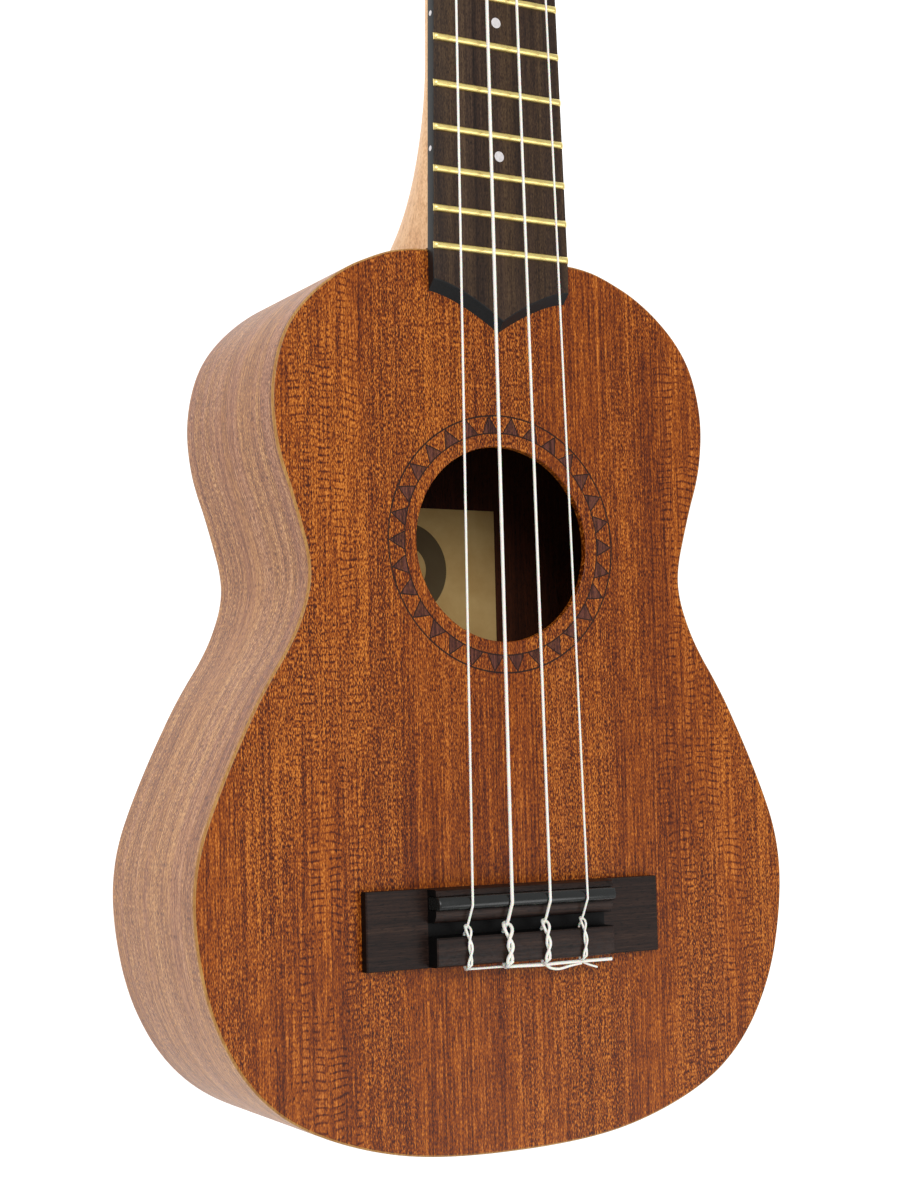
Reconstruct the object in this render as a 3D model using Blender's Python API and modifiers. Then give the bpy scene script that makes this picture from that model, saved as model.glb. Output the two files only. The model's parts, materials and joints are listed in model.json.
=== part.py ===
"""Soprano ukulele, modelled as the separate pieces a luthier would glue and screw together.

It lies on its flat back: +Z comes out of the soundboard, +Y runs along the neck to the
headstock, and the origin is under the middle of the object, on the plane of the back.
Lengths are written in millimetres and turned into metres where the pieces are made.
"""
from math import cos, pi, radians, sin

import bmesh
import bpy
import numpy as np
from mathutils import Matrix, Vector

MM = 0.001
GAP = 0.3                      # glue line left between pieces that touch

# Scale and overall layout
SCALE_LENGTH = 346.0           # nut to saddle before compensation
FRET_COUNT = 12
BODY_DEPTH = 60.0              # back face to soundboard face
PLATE_THICKNESS = 2.0          # soundboard, back and sides
NECK_JOINT = 173.2             # nut to the flat where the heel meets the body
HEAD_TILT = radians(12.0)
NUT_THICKNESS = 4.8
HEAD_LENGTH = 114.6

# Half outline of the body: (half width, distance from the neck joint)
BODY_OUTLINE = (
    (0.0, 0.0), (25.9, 0.5), (39.5, 4.4), (50.6, 10.7), (60.0, 19.6), (65.5, 29.5),
    (68.0, 42.8), (66.6, 57.0), (62.0, 71.8), (58.3, 88.8), (62.6, 104.5),
    (73.3, 122.5), (84.2, 145.0), (90.3, 163.0), (90.8, 181.0), (86.0, 202.0),
    (75.4, 219.8), (59.0, 231.8), (32.6, 240.1), (0.0, 242.3),
)
OUTLINE_STEPS = 3
BODY_LENGTH = BODY_OUTLINE[-1][1]

# Soundhole, braces and blocks
HOLE_CENTRE = 253.0
HOLE_RADIUS = 26.7
LINING_HEIGHT = 6.0
LINING_THICKNESS = 2.7
BRACE_WIDTH = 5.0
TOP_BRACES = {"top_brace_upper": 211.0, "top_brace_lower": 289.0}
BACK_BRACES = {"back_brace_upper": 214.0, "back_brace_lower": 342.0}
BRACE_HEIGHT = 7.0
HEAD_BLOCK = (25.0, 20.0)      # half width, depth along the neck
TAIL_BLOCK = (22.0, 12.0)
TENON = (7.0, 12.0, 20.0, 48.0)  # half width, length, bottom and top heights
BRIDGE_PLATE = (52.0, 5.0, 4.0, 2.0)  # half width, past the bridge's back and front, thickness
LABEL = (31.0, 236.0, 55.0, 0.2)      # half width, distance of its top edge, length, thickness

# Neck and fretboard
BOARD_HALF_NUT = 17.3
BOARD_HALF_BODY = 21.5
BOARD_BOTTOM = BODY_DEPTH + GAP
BOARD_TOP = BODY_DEPTH + 3.0
BOARD_END = 185.0              # corners of the board, over the soundboard
BOARD_TIP = 9.8                # how far the pointed end runs past them
NECK_DEPTH = 13.8
HEEL_DEPTH = 56.0
HEEL_START = 122.0
HEEL_POWER = 1.45
NECK_ROUNDNESS = 1.75          # exponent of the super-ellipse under the neck
HEEL_FLARE = (0.9, 6.0)        # what the heel adds to it at the body, and how late
NECK_RUN_ON = (11.0, 9.0, 3.0, 1.0)   # length inside the headstock, depth, lowered, narrowed
HEAD_THICKNESS = 11.0
HEAD_OUTLINE = ((17.3, 1.0), (18.2, 8.0), (22.0, 17.0), (25.2, 27.0), (27.0, 50.0),
                (28.6, 85.0), (29.5, 103.0), (24.0, 108.5), (12.0, 108.5), (0.0, HEAD_LENGTH))
FRET_CROWN = (2.0, 0.9)        # width, height above the board
FRET_TANG = (0.6, 1.4)         # width, depth
DOT_FRETS = (5, 7, 10)
DOT_RADIUS = 1.5

# Bridge, saddle and strings; the profile of the raised block is (below the nut, height)
BRIDGE_FRONT = 345.0
BRIDGE_BACK = 365.3
BRIDGE_HALF = 45.3
BLOCK_HALF = 27.4
WING_HEIGHT = 3.0
BLOCK_HEIGHT = 8.0
TIE_FRONT = 357.2              # front face of the block that the strings are tied to
BRIDGE_PROFILE = (
    (344.8, 1.0), (344.8, 7.3), (345.5, BLOCK_HEIGHT), (352.0, 7.6), (353.6, 6.4), (353.6, 3.2),
    (TIE_FRONT, 3.2), (TIE_FRONT, 7.5), (TIE_FRONT + 0.5, BLOCK_HEIGHT), (364.3, BLOCK_HEIGHT),
    (365.0, 7.3), (365.0, 1.0),
)
SADDLE_AT = 349.0              # where the strings bend
SADDLE_BOTTOM = 3.7
SADDLE_PROFILE = (             # (below the nut, height), slanting up to the strings
    (346.7, SADDLE_BOTTOM), (346.7, 8.6), (347.4, 9.35), (348.5, 9.65), (349.4, 9.6),
    (350.1, 9.1), (350.3, 8.4), (350.3, SADDLE_BOTTOM),
)
TIE_HOLE_HEIGHT = 5.9
TIE_HOLE_RADIUS = 1.0
STRING_HEIGHT_SADDLE = 10.5    # string centre above the soundboard
STRING_HEIGHT_NUT = 4.85
NUT_TOP = 5.4
NUT_SLOT_BELOW = 0.8           # slot's floor below the string's centre
STRINGS = (                    # name, diameter, x at nut, x at saddle
    ("g", 0.66, -13.0, -17.8), ("c", 0.94, -4.33, -5.93),
    ("e", 0.78, 4.33, 5.93), ("a", 0.60, 13.0, 17.8),
)

# Geared tuners, in the tilted frame of the headstock
POST_X = 14.0
POST_ROWS = {"g": 38.0, "c": 76.0, "e": 76.0, "a": 38.0}
POST_RADIUS = 2.8
POST_TOP = 11.0
SPIGOT_RADIUS = 2.0
POST_HOLE_RADIUS = 3.4
STRING_AT_POST = 4.5           # height of the string above the headstock face
GEAR_TEETH = 14
GEAR_RADIUS = 5.5
GEAR_ROOT = 4.3
GEAR_THICKNESS = 3.0
WORM_RADIUS = 2.0
SHAFT_RADIUS = 1.2
WORM_CLEARANCE = 0.35
GEAR_BELOW_PLATE = 1.2
TUNER_PLATE = (6.5, 13.0, 10.0, 1.0)  # half width, towards the worm, beyond the post, thickness
EAR = (4.5, 5.7, 3.0, 5.7)     # inner and outer face, half width, height
BUTTON_AT = 23.0               # centre of the button, out from the post
BUTTON_SIZE = (6.2, 7.2, 5.0)  # half length, half width, thickness
BUTTON_ROUNDING = 1.3
SHAFT_IN_BUTTON = 1.5          # end of the shaft short of the button's centre
SPIGOT_PAST_GEAR = 1.2

WOOD_TOP = (0.33, 0.13, 0.055)
WOOD_SIDE = (0.42, 0.25, 0.15)
WOOD_NECK = (0.55, 0.36, 0.21)
WOOD_INSIDE = (0.62, 0.47, 0.30)
WOOD_DARK = (0.035, 0.020, 0.014)
PAPER = (0.72, 0.62, 0.42)
PEARL = (0.85, 0.83, 0.76)
BONE = (0.80, 0.76, 0.66)
NYLON = (0.9, 0.9, 0.88)
SADDLE_BLACK = (0.02, 0.018, 0.017)
BRASS = (0.72, 0.54, 0.22)
NICKEL = (0.75, 0.75, 0.76)


# Layout in metres

HEAD_REACH = NUT_THICKNESS + HEAD_LENGTH * cos(HEAD_TILT)
NUT_Y = (NECK_JOINT + BODY_LENGTH - HEAD_REACH) / 2


def at(x, below_nut, z):
    """World position of a point given by its distance from the nut towards the tail."""
    return Vector((x, NUT_Y - below_nut, z)) * MM


def head_matrix(x, y, z):
    """Frame tilted with the headstock, at a point of the headstock's own frame."""
    hinge = Matrix.Translation(at(0, -NUT_THICKNESS, BODY_DEPTH))
    tilt = Matrix.Rotation(-HEAD_TILT, 4, "X")
    return hinge @ tilt @ Matrix.Translation(Vector((x, y, z)) * MM)


def catmull_rom(points, steps):
    """Smooth curve through points; the first and last ones only guide its ends."""
    curve = []
    for before, start, end, after in zip(points, points[1:], points[2:], points[3:]):
        for step in range(steps):
            t = step / steps
            curve.append(0.5 * (2 * start + (end - before) * t
                                + (2 * before - 5 * start + 4 * end - after) * t * t
                                + (3 * start - before - 3 * end + after) * t ** 3))
    curve.append(points[-2])
    return np.array(curve)


def half_outline(inset=0.0):
    """Treble half of the body's outline, moved inwards by a distance."""
    points = np.array(BODY_OUTLINE)
    mirror = np.array((-1.0, 1.0))
    guided = np.vstack((points[1] * mirror, points, points[-2] * mirror))
    curve = catmull_rom(guided, OUTLINE_STEPS)
    ends = np.vstack((curve[1] * mirror, curve, curve[-2] * mirror))
    tangent = ends[2:] - ends[:-2]
    tangent /= np.linalg.norm(tangent, axis=1)[:, None]
    inward = np.column_stack((-tangent[:, 1], tangent[:, 0]))
    return curve + inward * inset


def body_point(point, side=1):
    """Plan position in millimetres of a point of the body's outline."""
    return (side * point[0], NUT_Y - NECK_JOINT - point[1])


def board_half_width(below_nut):
    return BOARD_HALF_NUT + (BOARD_HALF_BODY - BOARD_HALF_NUT) * below_nut / NECK_JOINT


def fret_distance(number):
    return SCALE_LENGTH * (1 - 2 ** (-number / 12))


# Building tools

def clear_scene():
    for old in list(bpy.data.objects):
        bpy.data.objects.remove(old, do_unlink=True)


def new_collection(name):
    collection = bpy.data.collections.new(name)
    bpy.context.scene.collection.children.link(collection)
    return collection


def make_material(name, colour, roughness, metallic=0.0):
    material = bpy.data.materials.new(name)
    material.use_nodes = True
    shader = material.node_tree.nodes["Principled BSDF"]
    shader.inputs["Base Color"].default_value = (*colour, 1.0)
    shader.inputs["Roughness"].default_value = roughness
    shader.inputs["Metallic"].default_value = metallic
    return material


def finish(obj, look=None, cutter=False):
    """Put an object in its collection, as a part with its material or as a cutter."""
    if cutter:
        CUTTERS.objects.link(obj)
        obj.hide_render = True
        obj.display_type = "WIRE"
    else:
        PARTS.objects.link(obj)
        obj.data.materials.append(make_material(obj.name, *look))
    return obj


def smooth(mesh, angle=35.0):
    mesh.shade_smooth()
    mesh.set_sharp_from_angle(angle=radians(angle))


def make_box(name, low, high, look=None, cutter=False, frame=None):
    """Box between two corners in millimetres, in the world or in another frame."""
    low = Vector(low) * MM
    high = Vector(high) * MM
    mesh = bpy.data.meshes.new(name)
    shape = bmesh.new()
    bmesh.ops.create_cube(shape, size=1.0)
    size = Matrix.Diagonal((*(high - low), 1.0))
    bmesh.ops.transform(shape, matrix=size, verts=shape.verts)
    shape.to_mesh(mesh)
    shape.free()
    obj = bpy.data.objects.new(name, mesh)
    obj.matrix_world = (frame or Matrix()) @ Matrix.Translation((low + high) / 2)
    return finish(obj, look, cutter)


def make_cylinder(name, radius, length, frame, look=None, cutter=False, sides=16):
    """Round bar along the frame's Z axis, centred on its origin."""
    mesh = bpy.data.meshes.new(name)
    shape = bmesh.new()
    bmesh.ops.create_cone(shape, cap_ends=True, segments=sides, radius1=radius * MM,
                          radius2=radius * MM, depth=length * MM)
    shape.to_mesh(mesh)
    shape.free()
    obj = bpy.data.objects.new(name, mesh)
    obj.matrix_world = frame
    return finish(obj, look, cutter)


def make_outline(name, loops, thickness, frame, look):
    """Flat outline with any holes, extruded evenly to both sides of the frame's XY plane."""
    curve = bpy.data.curves.new(name, "CURVE")
    curve.dimensions = "2D"
    curve.fill_mode = "BOTH"
    curve.extrude = thickness * MM / 2
    for loop in loops:
        spline = curve.splines.new("POLY")
        spline.points.add(len(loop) - 1)
        for point, (x, y) in zip(spline.points, loop):
            point.co = (x * MM, y * MM, 0.0, 1.0)
        spline.use_cyclic_u = True
    obj = bpy.data.objects.new(name, curve)
    obj.matrix_world = frame
    return finish(obj, look)


def make_turned(name, profile, frame, look, steps=16):
    """Turned piece from (radius, height) points, listed from the top down."""
    mesh = bpy.data.meshes.new(name)
    points = [(radius * MM, 0.0, height * MM) for radius, height in profile]
    mesh.from_pydata(points, [(i, i + 1) for i in range(len(points) - 1)], [])
    obj = bpy.data.objects.new(name, mesh)
    obj.matrix_world = frame
    screw = obj.modifiers.new("turn", "SCREW")
    screw.steps = steps
    screw.render_steps = steps
    screw.use_merge_vertices = True
    screw.merge_threshold = 0.00001
    screw.use_smooth_shade = True
    return finish(obj, look)


def make_tube(name, points, radius, look):
    """Round string through world points in metres."""
    curve = bpy.data.curves.new(name, "CURVE")
    curve.dimensions = "3D"
    curve.bevel_depth = radius * MM
    curve.bevel_resolution = 2
    curve.use_fill_caps = True
    spline = curve.splines.new("POLY")
    spline.points.add(len(points) - 1)
    for point, place in zip(spline.points, points):
        point.co = (*place, 1.0)
    return finish(bpy.data.objects.new(name, curve), look)


def to_mesh(obj):
    """Swap a curve object for a mesh one of the same name, with its caps welded on."""
    name = obj.name
    evaluated = obj.evaluated_get(bpy.context.evaluated_depsgraph_get())
    mesh = bpy.data.meshes.new_from_object(evaluated)
    shape = bmesh.new()
    shape.from_mesh(mesh)
    bmesh.ops.remove_doubles(shape, verts=shape.verts, dist=0.000001)
    bmesh.ops.recalc_face_normals(shape, faces=shape.faces)
    shape.to_mesh(mesh)
    shape.free()
    obj.name = name + "_curve"
    solid = bpy.data.objects.new(name, mesh)
    solid.matrix_world = obj.matrix_world.copy()
    PARTS.objects.link(solid)
    bpy.data.objects.remove(obj, do_unlink=True)
    return solid


def combine(obj, other, operation):
    modifier = obj.modifiers.new(other.name, "BOOLEAN")
    modifier.operation = operation
    modifier.object = other


def flat_frame(middle_height):
    """World frame for a plan outline whose plate is centred on a height."""
    return Matrix.Translation((0.0, 0.0, middle_height * MM))


ACROSS = Matrix(((0, 0, 1, 0), (1, 0, 0, 0), (0, 1, 0, 0), (0, 0, 0, 1)))   # profile in YZ
ALONG = Matrix(((1, 0, 0, 0), (0, 0, -1, 0), (0, 1, 0, 0), (0, 0, 0, 1)))   # profile in XZ


# Sound box

def make_plates():
    right = [body_point(point) for point in half_outline()]
    left = [body_point(point, -1) for point in half_outline()[1:-1]]
    outline = right + left[::-1]
    angles = np.linspace(0, 2 * pi, 48, endpoint=False)
    hole = [(HOLE_RADIUS * cos(a), NUT_Y - HOLE_CENTRE + HOLE_RADIUS * sin(a)) for a in angles]
    top_middle = BODY_DEPTH - PLATE_THICKNESS / 2
    make_outline("soundboard", (outline, hole), PLATE_THICKNESS, flat_frame(top_middle),
                 (WOOD_TOP, 0.45))
    make_outline("back", (outline,), PLATE_THICKNESS, flat_frame(PLATE_THICKNESS / 2),
                 (WOOD_TOP, 0.45))


def clip_ends(curve, neck_x, tail_x):
    """Part of a half outline between a half width near the neck and one near the tail."""
    middle = len(curve) // 2
    start = np.interp(neck_x, curve[:middle, 0], np.arange(middle))
    tail = curve[:middle:-1, 0]
    end = len(curve) - 1 - np.interp(tail_x, tail, np.arange(len(tail)))
    places = np.concatenate(([start], np.arange(int(start) + 1, int(np.ceil(end))), [end]))
    steps = np.arange(len(curve))
    return np.column_stack([np.interp(places, steps, curve[:, axis]) for axis in (0, 1)])


def make_strip(name, outer, inner, ends, low, high, side, look):
    """Bent strip that follows one half of the body between two half widths."""
    outside = clip_ends(half_outline(outer), *ends)
    inside = clip_ends(half_outline(inner), *ends)
    loop = [body_point(point, side) for point in (*outside, *inside[::-1])]
    make_outline(name, (loop,), high - low, flat_frame((low + high) / 2), look)


def make_sides_and_linings():
    low = PLATE_THICKNESS + GAP
    high = BODY_DEPTH - PLATE_THICKNESS - GAP
    lining_outer = PLATE_THICKNESS + GAP
    lining_inner = lining_outer + LINING_THICKNESS
    side_ends = (TENON[0] + GAP, GAP / 2)
    lining_ends = (HEAD_BLOCK[0] + GAP, TAIL_BLOCK[0] + GAP)
    for label, side in (("bass", -1), ("treble", 1)):
        make_strip("side_" + label, 0.0, PLATE_THICKNESS, side_ends, low, high, side,
                   (WOOD_SIDE, 0.5))
        make_strip("lining_top_" + label, lining_outer, lining_inner, lining_ends,
                   high - LINING_HEIGHT, high, side, (WOOD_INSIDE, 0.7))
        make_strip("lining_back_" + label, lining_outer, lining_inner, lining_ends,
                   low, low + LINING_HEIGHT, side, (WOOD_INSIDE, 0.7))


def make_end_block(name, size, at_neck):
    """Block glued inside the end of the body, its outer face following the sides."""
    half_width, depth = size
    curve = half_outline(PLATE_THICKNESS + GAP)
    end = curve[(curve[:, 1] < BODY_LENGTH / 2) == at_neck]
    end = end[np.argsort(end[:, 0])][:8]
    corner = np.interp(half_width, end[:, 0], end[:, 1])
    reach = corner + (depth if at_neck else -depth)
    right = [body_point(p) for p in end if p[0] < half_width] + [body_point((half_width, corner))]
    left = [(-x, y) for x, y in right[1:]]
    inner = [body_point((half_width, reach)), body_point((half_width, reach), -1)]
    loop = right + inner + left[::-1]
    height = BODY_DEPTH - 2 * (PLATE_THICKNESS + GAP)
    block = make_outline(name, (loop,), height, flat_frame(BODY_DEPTH / 2), (WOOD_INSIDE, 0.7))
    return block


def make_blocks():
    make_end_block("tail_block", TAIL_BLOCK, False)
    block = to_mesh(make_end_block("head_block", HEAD_BLOCK, True))
    half, length, low, high = TENON
    front = at(0, NECK_JOINT + length + GAP, 0)[1] / MM
    mortise = make_box("mortise", (-half - GAP, front, low - GAP),
                       (half + GAP, front + 2 * length, high + GAP), cutter=True)
    combine(block, mortise, "DIFFERENCE")


def inner_half_width(distance, inset):
    """Half width of the body's inside at a distance below the nut."""
    curve = half_outline(inset)
    order = np.argsort(curve[:, 1])
    return float(np.interp(distance - NECK_JOINT, curve[order, 1], curve[order, 0]))


def make_brace(name, distance, on_top):
    """Cross brace with tapered ends that stop at the linings."""
    inset = PLATE_THICKNESS + LINING_THICKNESS + 3 * GAP
    half = min(inner_half_width(distance + offset, inset) for offset in (-3, 0, 3))
    taper = 16.0
    shape = [(-half, 0.0), (half, 0.0), (half, 1.8), (half - taper, BRACE_HEIGHT),
             (taper - half, BRACE_HEIGHT), (-half, 1.8)]
    glue = BODY_DEPTH - PLATE_THICKNESS - GAP if on_top else PLATE_THICKNESS + GAP
    if on_top:
        shape = [(x, -z) for x, z in shape]
    frame = Matrix.Translation(at(0, distance, glue)) @ ALONG
    make_outline(name, (shape,), BRACE_WIDTH, frame, (WOOD_INSIDE, 0.7))


def make_inside():
    for name, distance in TOP_BRACES.items():
        make_brace(name, distance, True)
    for name, distance in BACK_BRACES.items():
        make_brace(name, distance, False)
    under_top = BODY_DEPTH - PLATE_THICKNESS - GAP
    half, past_back, past_front, thickness = BRIDGE_PLATE
    make_box("bridge_plate", (-half, NUT_Y - BRIDGE_BACK - past_back, under_top - thickness),
             (half, NUT_Y - BRIDGE_FRONT + past_front, under_top), (WOOD_INSIDE, 0.7))
    half, distance, length, thickness = LABEL
    on_back = PLATE_THICKNESS + GAP
    make_box("label", (-half, NUT_Y - distance - length, on_back),
             (half, NUT_Y - distance, on_back + thickness), (PAPER, 0.8))


# Neck

def heel_rise(below_nut):
    return max(0.0, (below_nut - HEEL_START) / (NECK_JOINT - HEEL_START))


def neck_depth(below_nut):
    return NECK_DEPTH + (HEEL_DEPTH - NECK_DEPTH) * heel_rise(below_nut) ** HEEL_POWER


def neck_section(below_nut, half, depth, top, arc=14):
    """Flat-topped section of the neck with a super-elliptical underside."""
    extra, late = HEEL_FLARE
    power = 2 / (NECK_ROUNDNESS + extra * heel_rise(below_nut) ** late)
    ring = []
    for angle in np.linspace(0, pi, arc + 1):
        x = half * np.sign(cos(angle)) * abs(cos(angle)) ** power
        z = -depth * sin(angle) ** power
        ring.append(at(x, below_nut, top + z))
    return ring


def loft(name, rings):
    """Closed solid through rings of equal length, since no modifier joins unlike sections."""
    mesh = bpy.data.meshes.new(name)
    shape = bmesh.new()
    loops = [[shape.verts.new(point) for point in ring] for ring in rings]
    for first, second in zip(loops, loops[1:]):
        for i in range(len(first)):
            j = (i + 1) % len(first)
            shape.faces.new((first[i], first[j], second[j], second[i]))
    shape.faces.new(loops[0][::-1])
    shape.faces.new(loops[-1])
    bmesh.ops.recalc_face_normals(shape, faces=shape.faces)
    shape.to_mesh(mesh)
    shape.free()
    return bpy.data.objects.new(name, mesh)


def make_neck():
    distances = [-NUT_THICKNESS, 40.0, 80.0, HEEL_START]
    distances += list(np.linspace(HEEL_START, NECK_JOINT - GAP, 10)[1:])
    rings = [neck_section(d, board_half_width(d), neck_depth(d), BODY_DEPTH)
             for d in distances[::-1]]
    # The neck runs on a little inside the headstock, so that the two can be joined.
    length, depth, lowered, narrowed = NECK_RUN_ON
    rings.append(neck_section(-NUT_THICKNESS - length, BOARD_HALF_NUT - narrowed, depth,
                              BODY_DEPTH - lowered))
    neck = finish(loft("neck", rings), (WOOD_NECK, 0.5))
    right = list(HEAD_OUTLINE)
    left = [(-x, y) for x, y in right[:-1]]
    head = make_outline("headstock", (right + left[::-1],), HEAD_THICKNESS,
                        head_matrix(0, 0, -HEAD_THICKNESS / 2), (WOOD_NECK, 0.5))
    head = to_mesh(head)
    PARTS.objects.unlink(head)
    finish(head, cutter=True)
    combine(neck, head, "UNION")
    half, length, low, high = TENON
    heel = NUT_Y - NECK_JOINT
    tenon = make_box("tenon", (-half, heel - length, low), (half, heel + 4, high), cutter=True)
    combine(neck, tenon, "UNION")
    for name, row in POST_ROWS.items():
        side = -1 if name in "gc" else 1
        hole = make_cylinder("post_hole_" + name, POST_HOLE_RADIUS, 3 * HEAD_THICKNESS,
                             head_matrix(side * POST_X, row, -HEAD_THICKNESS / 2), cutter=True)
        combine(neck, hole, "DIFFERENCE")


def make_fretboard():
    end = [(BOARD_HALF_BODY * t, NUT_Y - BOARD_END - BOARD_TIP * (1 - t) ** 1.5)
           for t in np.linspace(1, 0, 7)]
    right = [(BOARD_HALF_NUT, NUT_Y), (BOARD_HALF_BODY, NUT_Y - NECK_JOINT)] + end
    left = [(-x, y) for x, y in right[:-1]]
    thickness = BOARD_TOP - BOARD_BOTTOM
    board = make_outline("fretboard", (right + left[::-1],), thickness,
                         flat_frame(BOARD_BOTTOM + thickness / 2), (WOOD_DARK, 0.5))
    board = to_mesh(board)
    tang_width, tang_depth = FRET_TANG
    for number in range(1, FRET_COUNT + 1):
        y = NUT_Y - fret_distance(number)
        reach = tang_width / 2 + GAP
        slot = make_box(f"slot_{number:02d}", (-30, y - reach, BOARD_TOP - tang_depth - GAP),
                        (30, y + reach, BOARD_TOP + 1), cutter=True)
        combine(board, slot, "DIFFERENCE")
    for number in DOT_FRETS:
        middle = (fret_distance(number - 1) + fret_distance(number)) / 2
        frame = Matrix.Translation(at(0, middle, BOARD_TOP))
        pocket = make_cylinder(f"dot_pocket_{number:02d}", DOT_RADIUS + GAP, 2.2, frame,
                               cutter=True)
        combine(board, pocket, "DIFFERENCE")
        make_cylinder(f"dot_{number:02d}", DOT_RADIUS, 0.8,
                      Matrix.Translation(at(0, middle, BOARD_TOP - 0.4)),
                      (PEARL, 0.3))


def make_frets():
    crown_width, crown_height = FRET_CROWN
    tang_width, tang_depth = FRET_TANG
    base = 0.1
    crown = [(crown_width / 2 * cos(a), base + crown_height * sin(a))
             for a in np.linspace(0, pi, 7)]
    tang = [(-tang_width / 2, base), (-tang_width / 2, -tang_depth),
            (tang_width / 2, -tang_depth), (tang_width / 2, base)]
    for number in range(1, FRET_COUNT + 1):
        distance = fret_distance(number)
        frame = Matrix.Translation(at(0, distance, BOARD_TOP)) @ ACROSS
        width = 2 * board_half_width(distance) - 0.2
        make_outline(f"fret_{number:02d}", (crown + tang,), width, frame,
                     (BRASS, 0.25, 1.0))


def make_nut():
    low = (-BOARD_HALF_NUT, NUT_Y + GAP, BODY_DEPTH + GAP)
    high = (BOARD_HALF_NUT, NUT_Y + NUT_THICKNESS - GAP, BODY_DEPTH + NUT_TOP)
    nut = make_box("nut", low, high, (BONE, 0.35))
    bottom = BODY_DEPTH + STRING_HEIGHT_NUT - NUT_SLOT_BELOW
    for name, diameter, x, _ in STRINGS:
        reach = diameter / 2 + GAP
        slot = make_box("nut_slot_" + name, (x - reach, NUT_Y - 2, bottom),
                        (x + reach, NUT_Y + NUT_THICKNESS + 2, bottom + 4), cutter=True)
        combine(nut, slot, "DIFFERENCE")


# Bridge and strings

def make_bridge():
    """Thin base with a raised block, which has a saddle ridge, a channel and a tie block."""
    bridge = make_box("bridge", (-BRIDGE_HALF, NUT_Y - BRIDGE_BACK, BODY_DEPTH + GAP),
                      (BRIDGE_HALF, NUT_Y - BRIDGE_FRONT, BODY_DEPTH + WING_HEIGHT),
                      (WOOD_DARK, 0.45))
    loop = [(NUT_Y - distance, BODY_DEPTH + height) for distance, height in BRIDGE_PROFILE]
    block = to_mesh(make_outline("bridge_block", (loop,), 2 * BLOCK_HALF, ACROSS.copy(),
                                 (WOOD_DARK, 0.45)))
    PARTS.objects.unlink(block)
    finish(block, cutter=True)
    combine(bridge, block, "UNION")
    front, back = SADDLE_PROFILE[0][0], SADDLE_PROFILE[-1][0]
    bottom = BODY_DEPTH + SADDLE_BOTTOM - GAP
    slot = make_box("saddle_slot", (-BLOCK_HALF - 1, NUT_Y - back - GAP, bottom),
                    (BLOCK_HALF + 1, NUT_Y - front + GAP, bottom + BLOCK_HEIGHT), cutter=True)
    combine(bridge, slot, "DIFFERENCE")
    middle = (TIE_FRONT + BRIDGE_BACK) / 2
    for name, _, _, x in STRINGS:
        frame = Matrix.Translation(at(x, middle, BODY_DEPTH + TIE_HOLE_HEIGHT))
        hole = make_cylinder("tie_hole_" + name, TIE_HOLE_RADIUS, BRIDGE_BACK - TIE_FRONT + 2,
                             frame @ Matrix.Rotation(pi / 2, 4, "X"), cutter=True, sides=10)
        combine(bridge, hole, "DIFFERENCE")


def make_saddle():
    loop = [(NUT_Y - distance, BODY_DEPTH + height) for distance, height in SADDLE_PROFILE]
    make_outline("saddle", (loop,), 2 * BLOCK_HALF, ACROSS.copy(), (SADDLE_BLACK, 0.15))


def make_strings():
    for name, diameter, nut_x, saddle_x in STRINGS:
        radius = diameter / 2
        side = -1 if nut_x < 0 else 1
        beside_post = side * (POST_X - POST_RADIUS - GAP - radius)
        post = head_matrix(beside_post, POST_ROWS[name], STRING_AT_POST).translation
        points = [
            at(saddle_x, BRIDGE_BACK + 2, BODY_DEPTH + TIE_HOLE_HEIGHT),
            at(saddle_x, TIE_FRONT - 1, BODY_DEPTH + TIE_HOLE_HEIGHT),
            at(saddle_x, SADDLE_AT + 1.9, BODY_DEPTH + STRING_HEIGHT_SADDLE - 0.5),
            at(saddle_x, SADDLE_AT, BODY_DEPTH + STRING_HEIGHT_SADDLE),
            at(nut_x, 0, BODY_DEPTH + STRING_HEIGHT_NUT),
            at(nut_x, -NUT_THICKNESS, BODY_DEPTH + STRING_HEIGHT_NUT),
            post,
        ]
        make_tube("string_" + name, points, radius, (NYLON, 0.3))


# Tuners

def gear_outline():
    """Toothed rim, four points to a tooth."""
    loop = []
    for tooth in range(GEAR_TEETH):
        for part, radius in ((-0.30, GEAR_ROOT), (-0.14, GEAR_RADIUS), (0.14, GEAR_RADIUS),
                             (0.30, GEAR_ROOT)):
            angle = 2 * pi * (tooth + part) / GEAR_TEETH
            loop.append((radius * cos(angle), radius * sin(angle)))
    return loop


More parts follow.
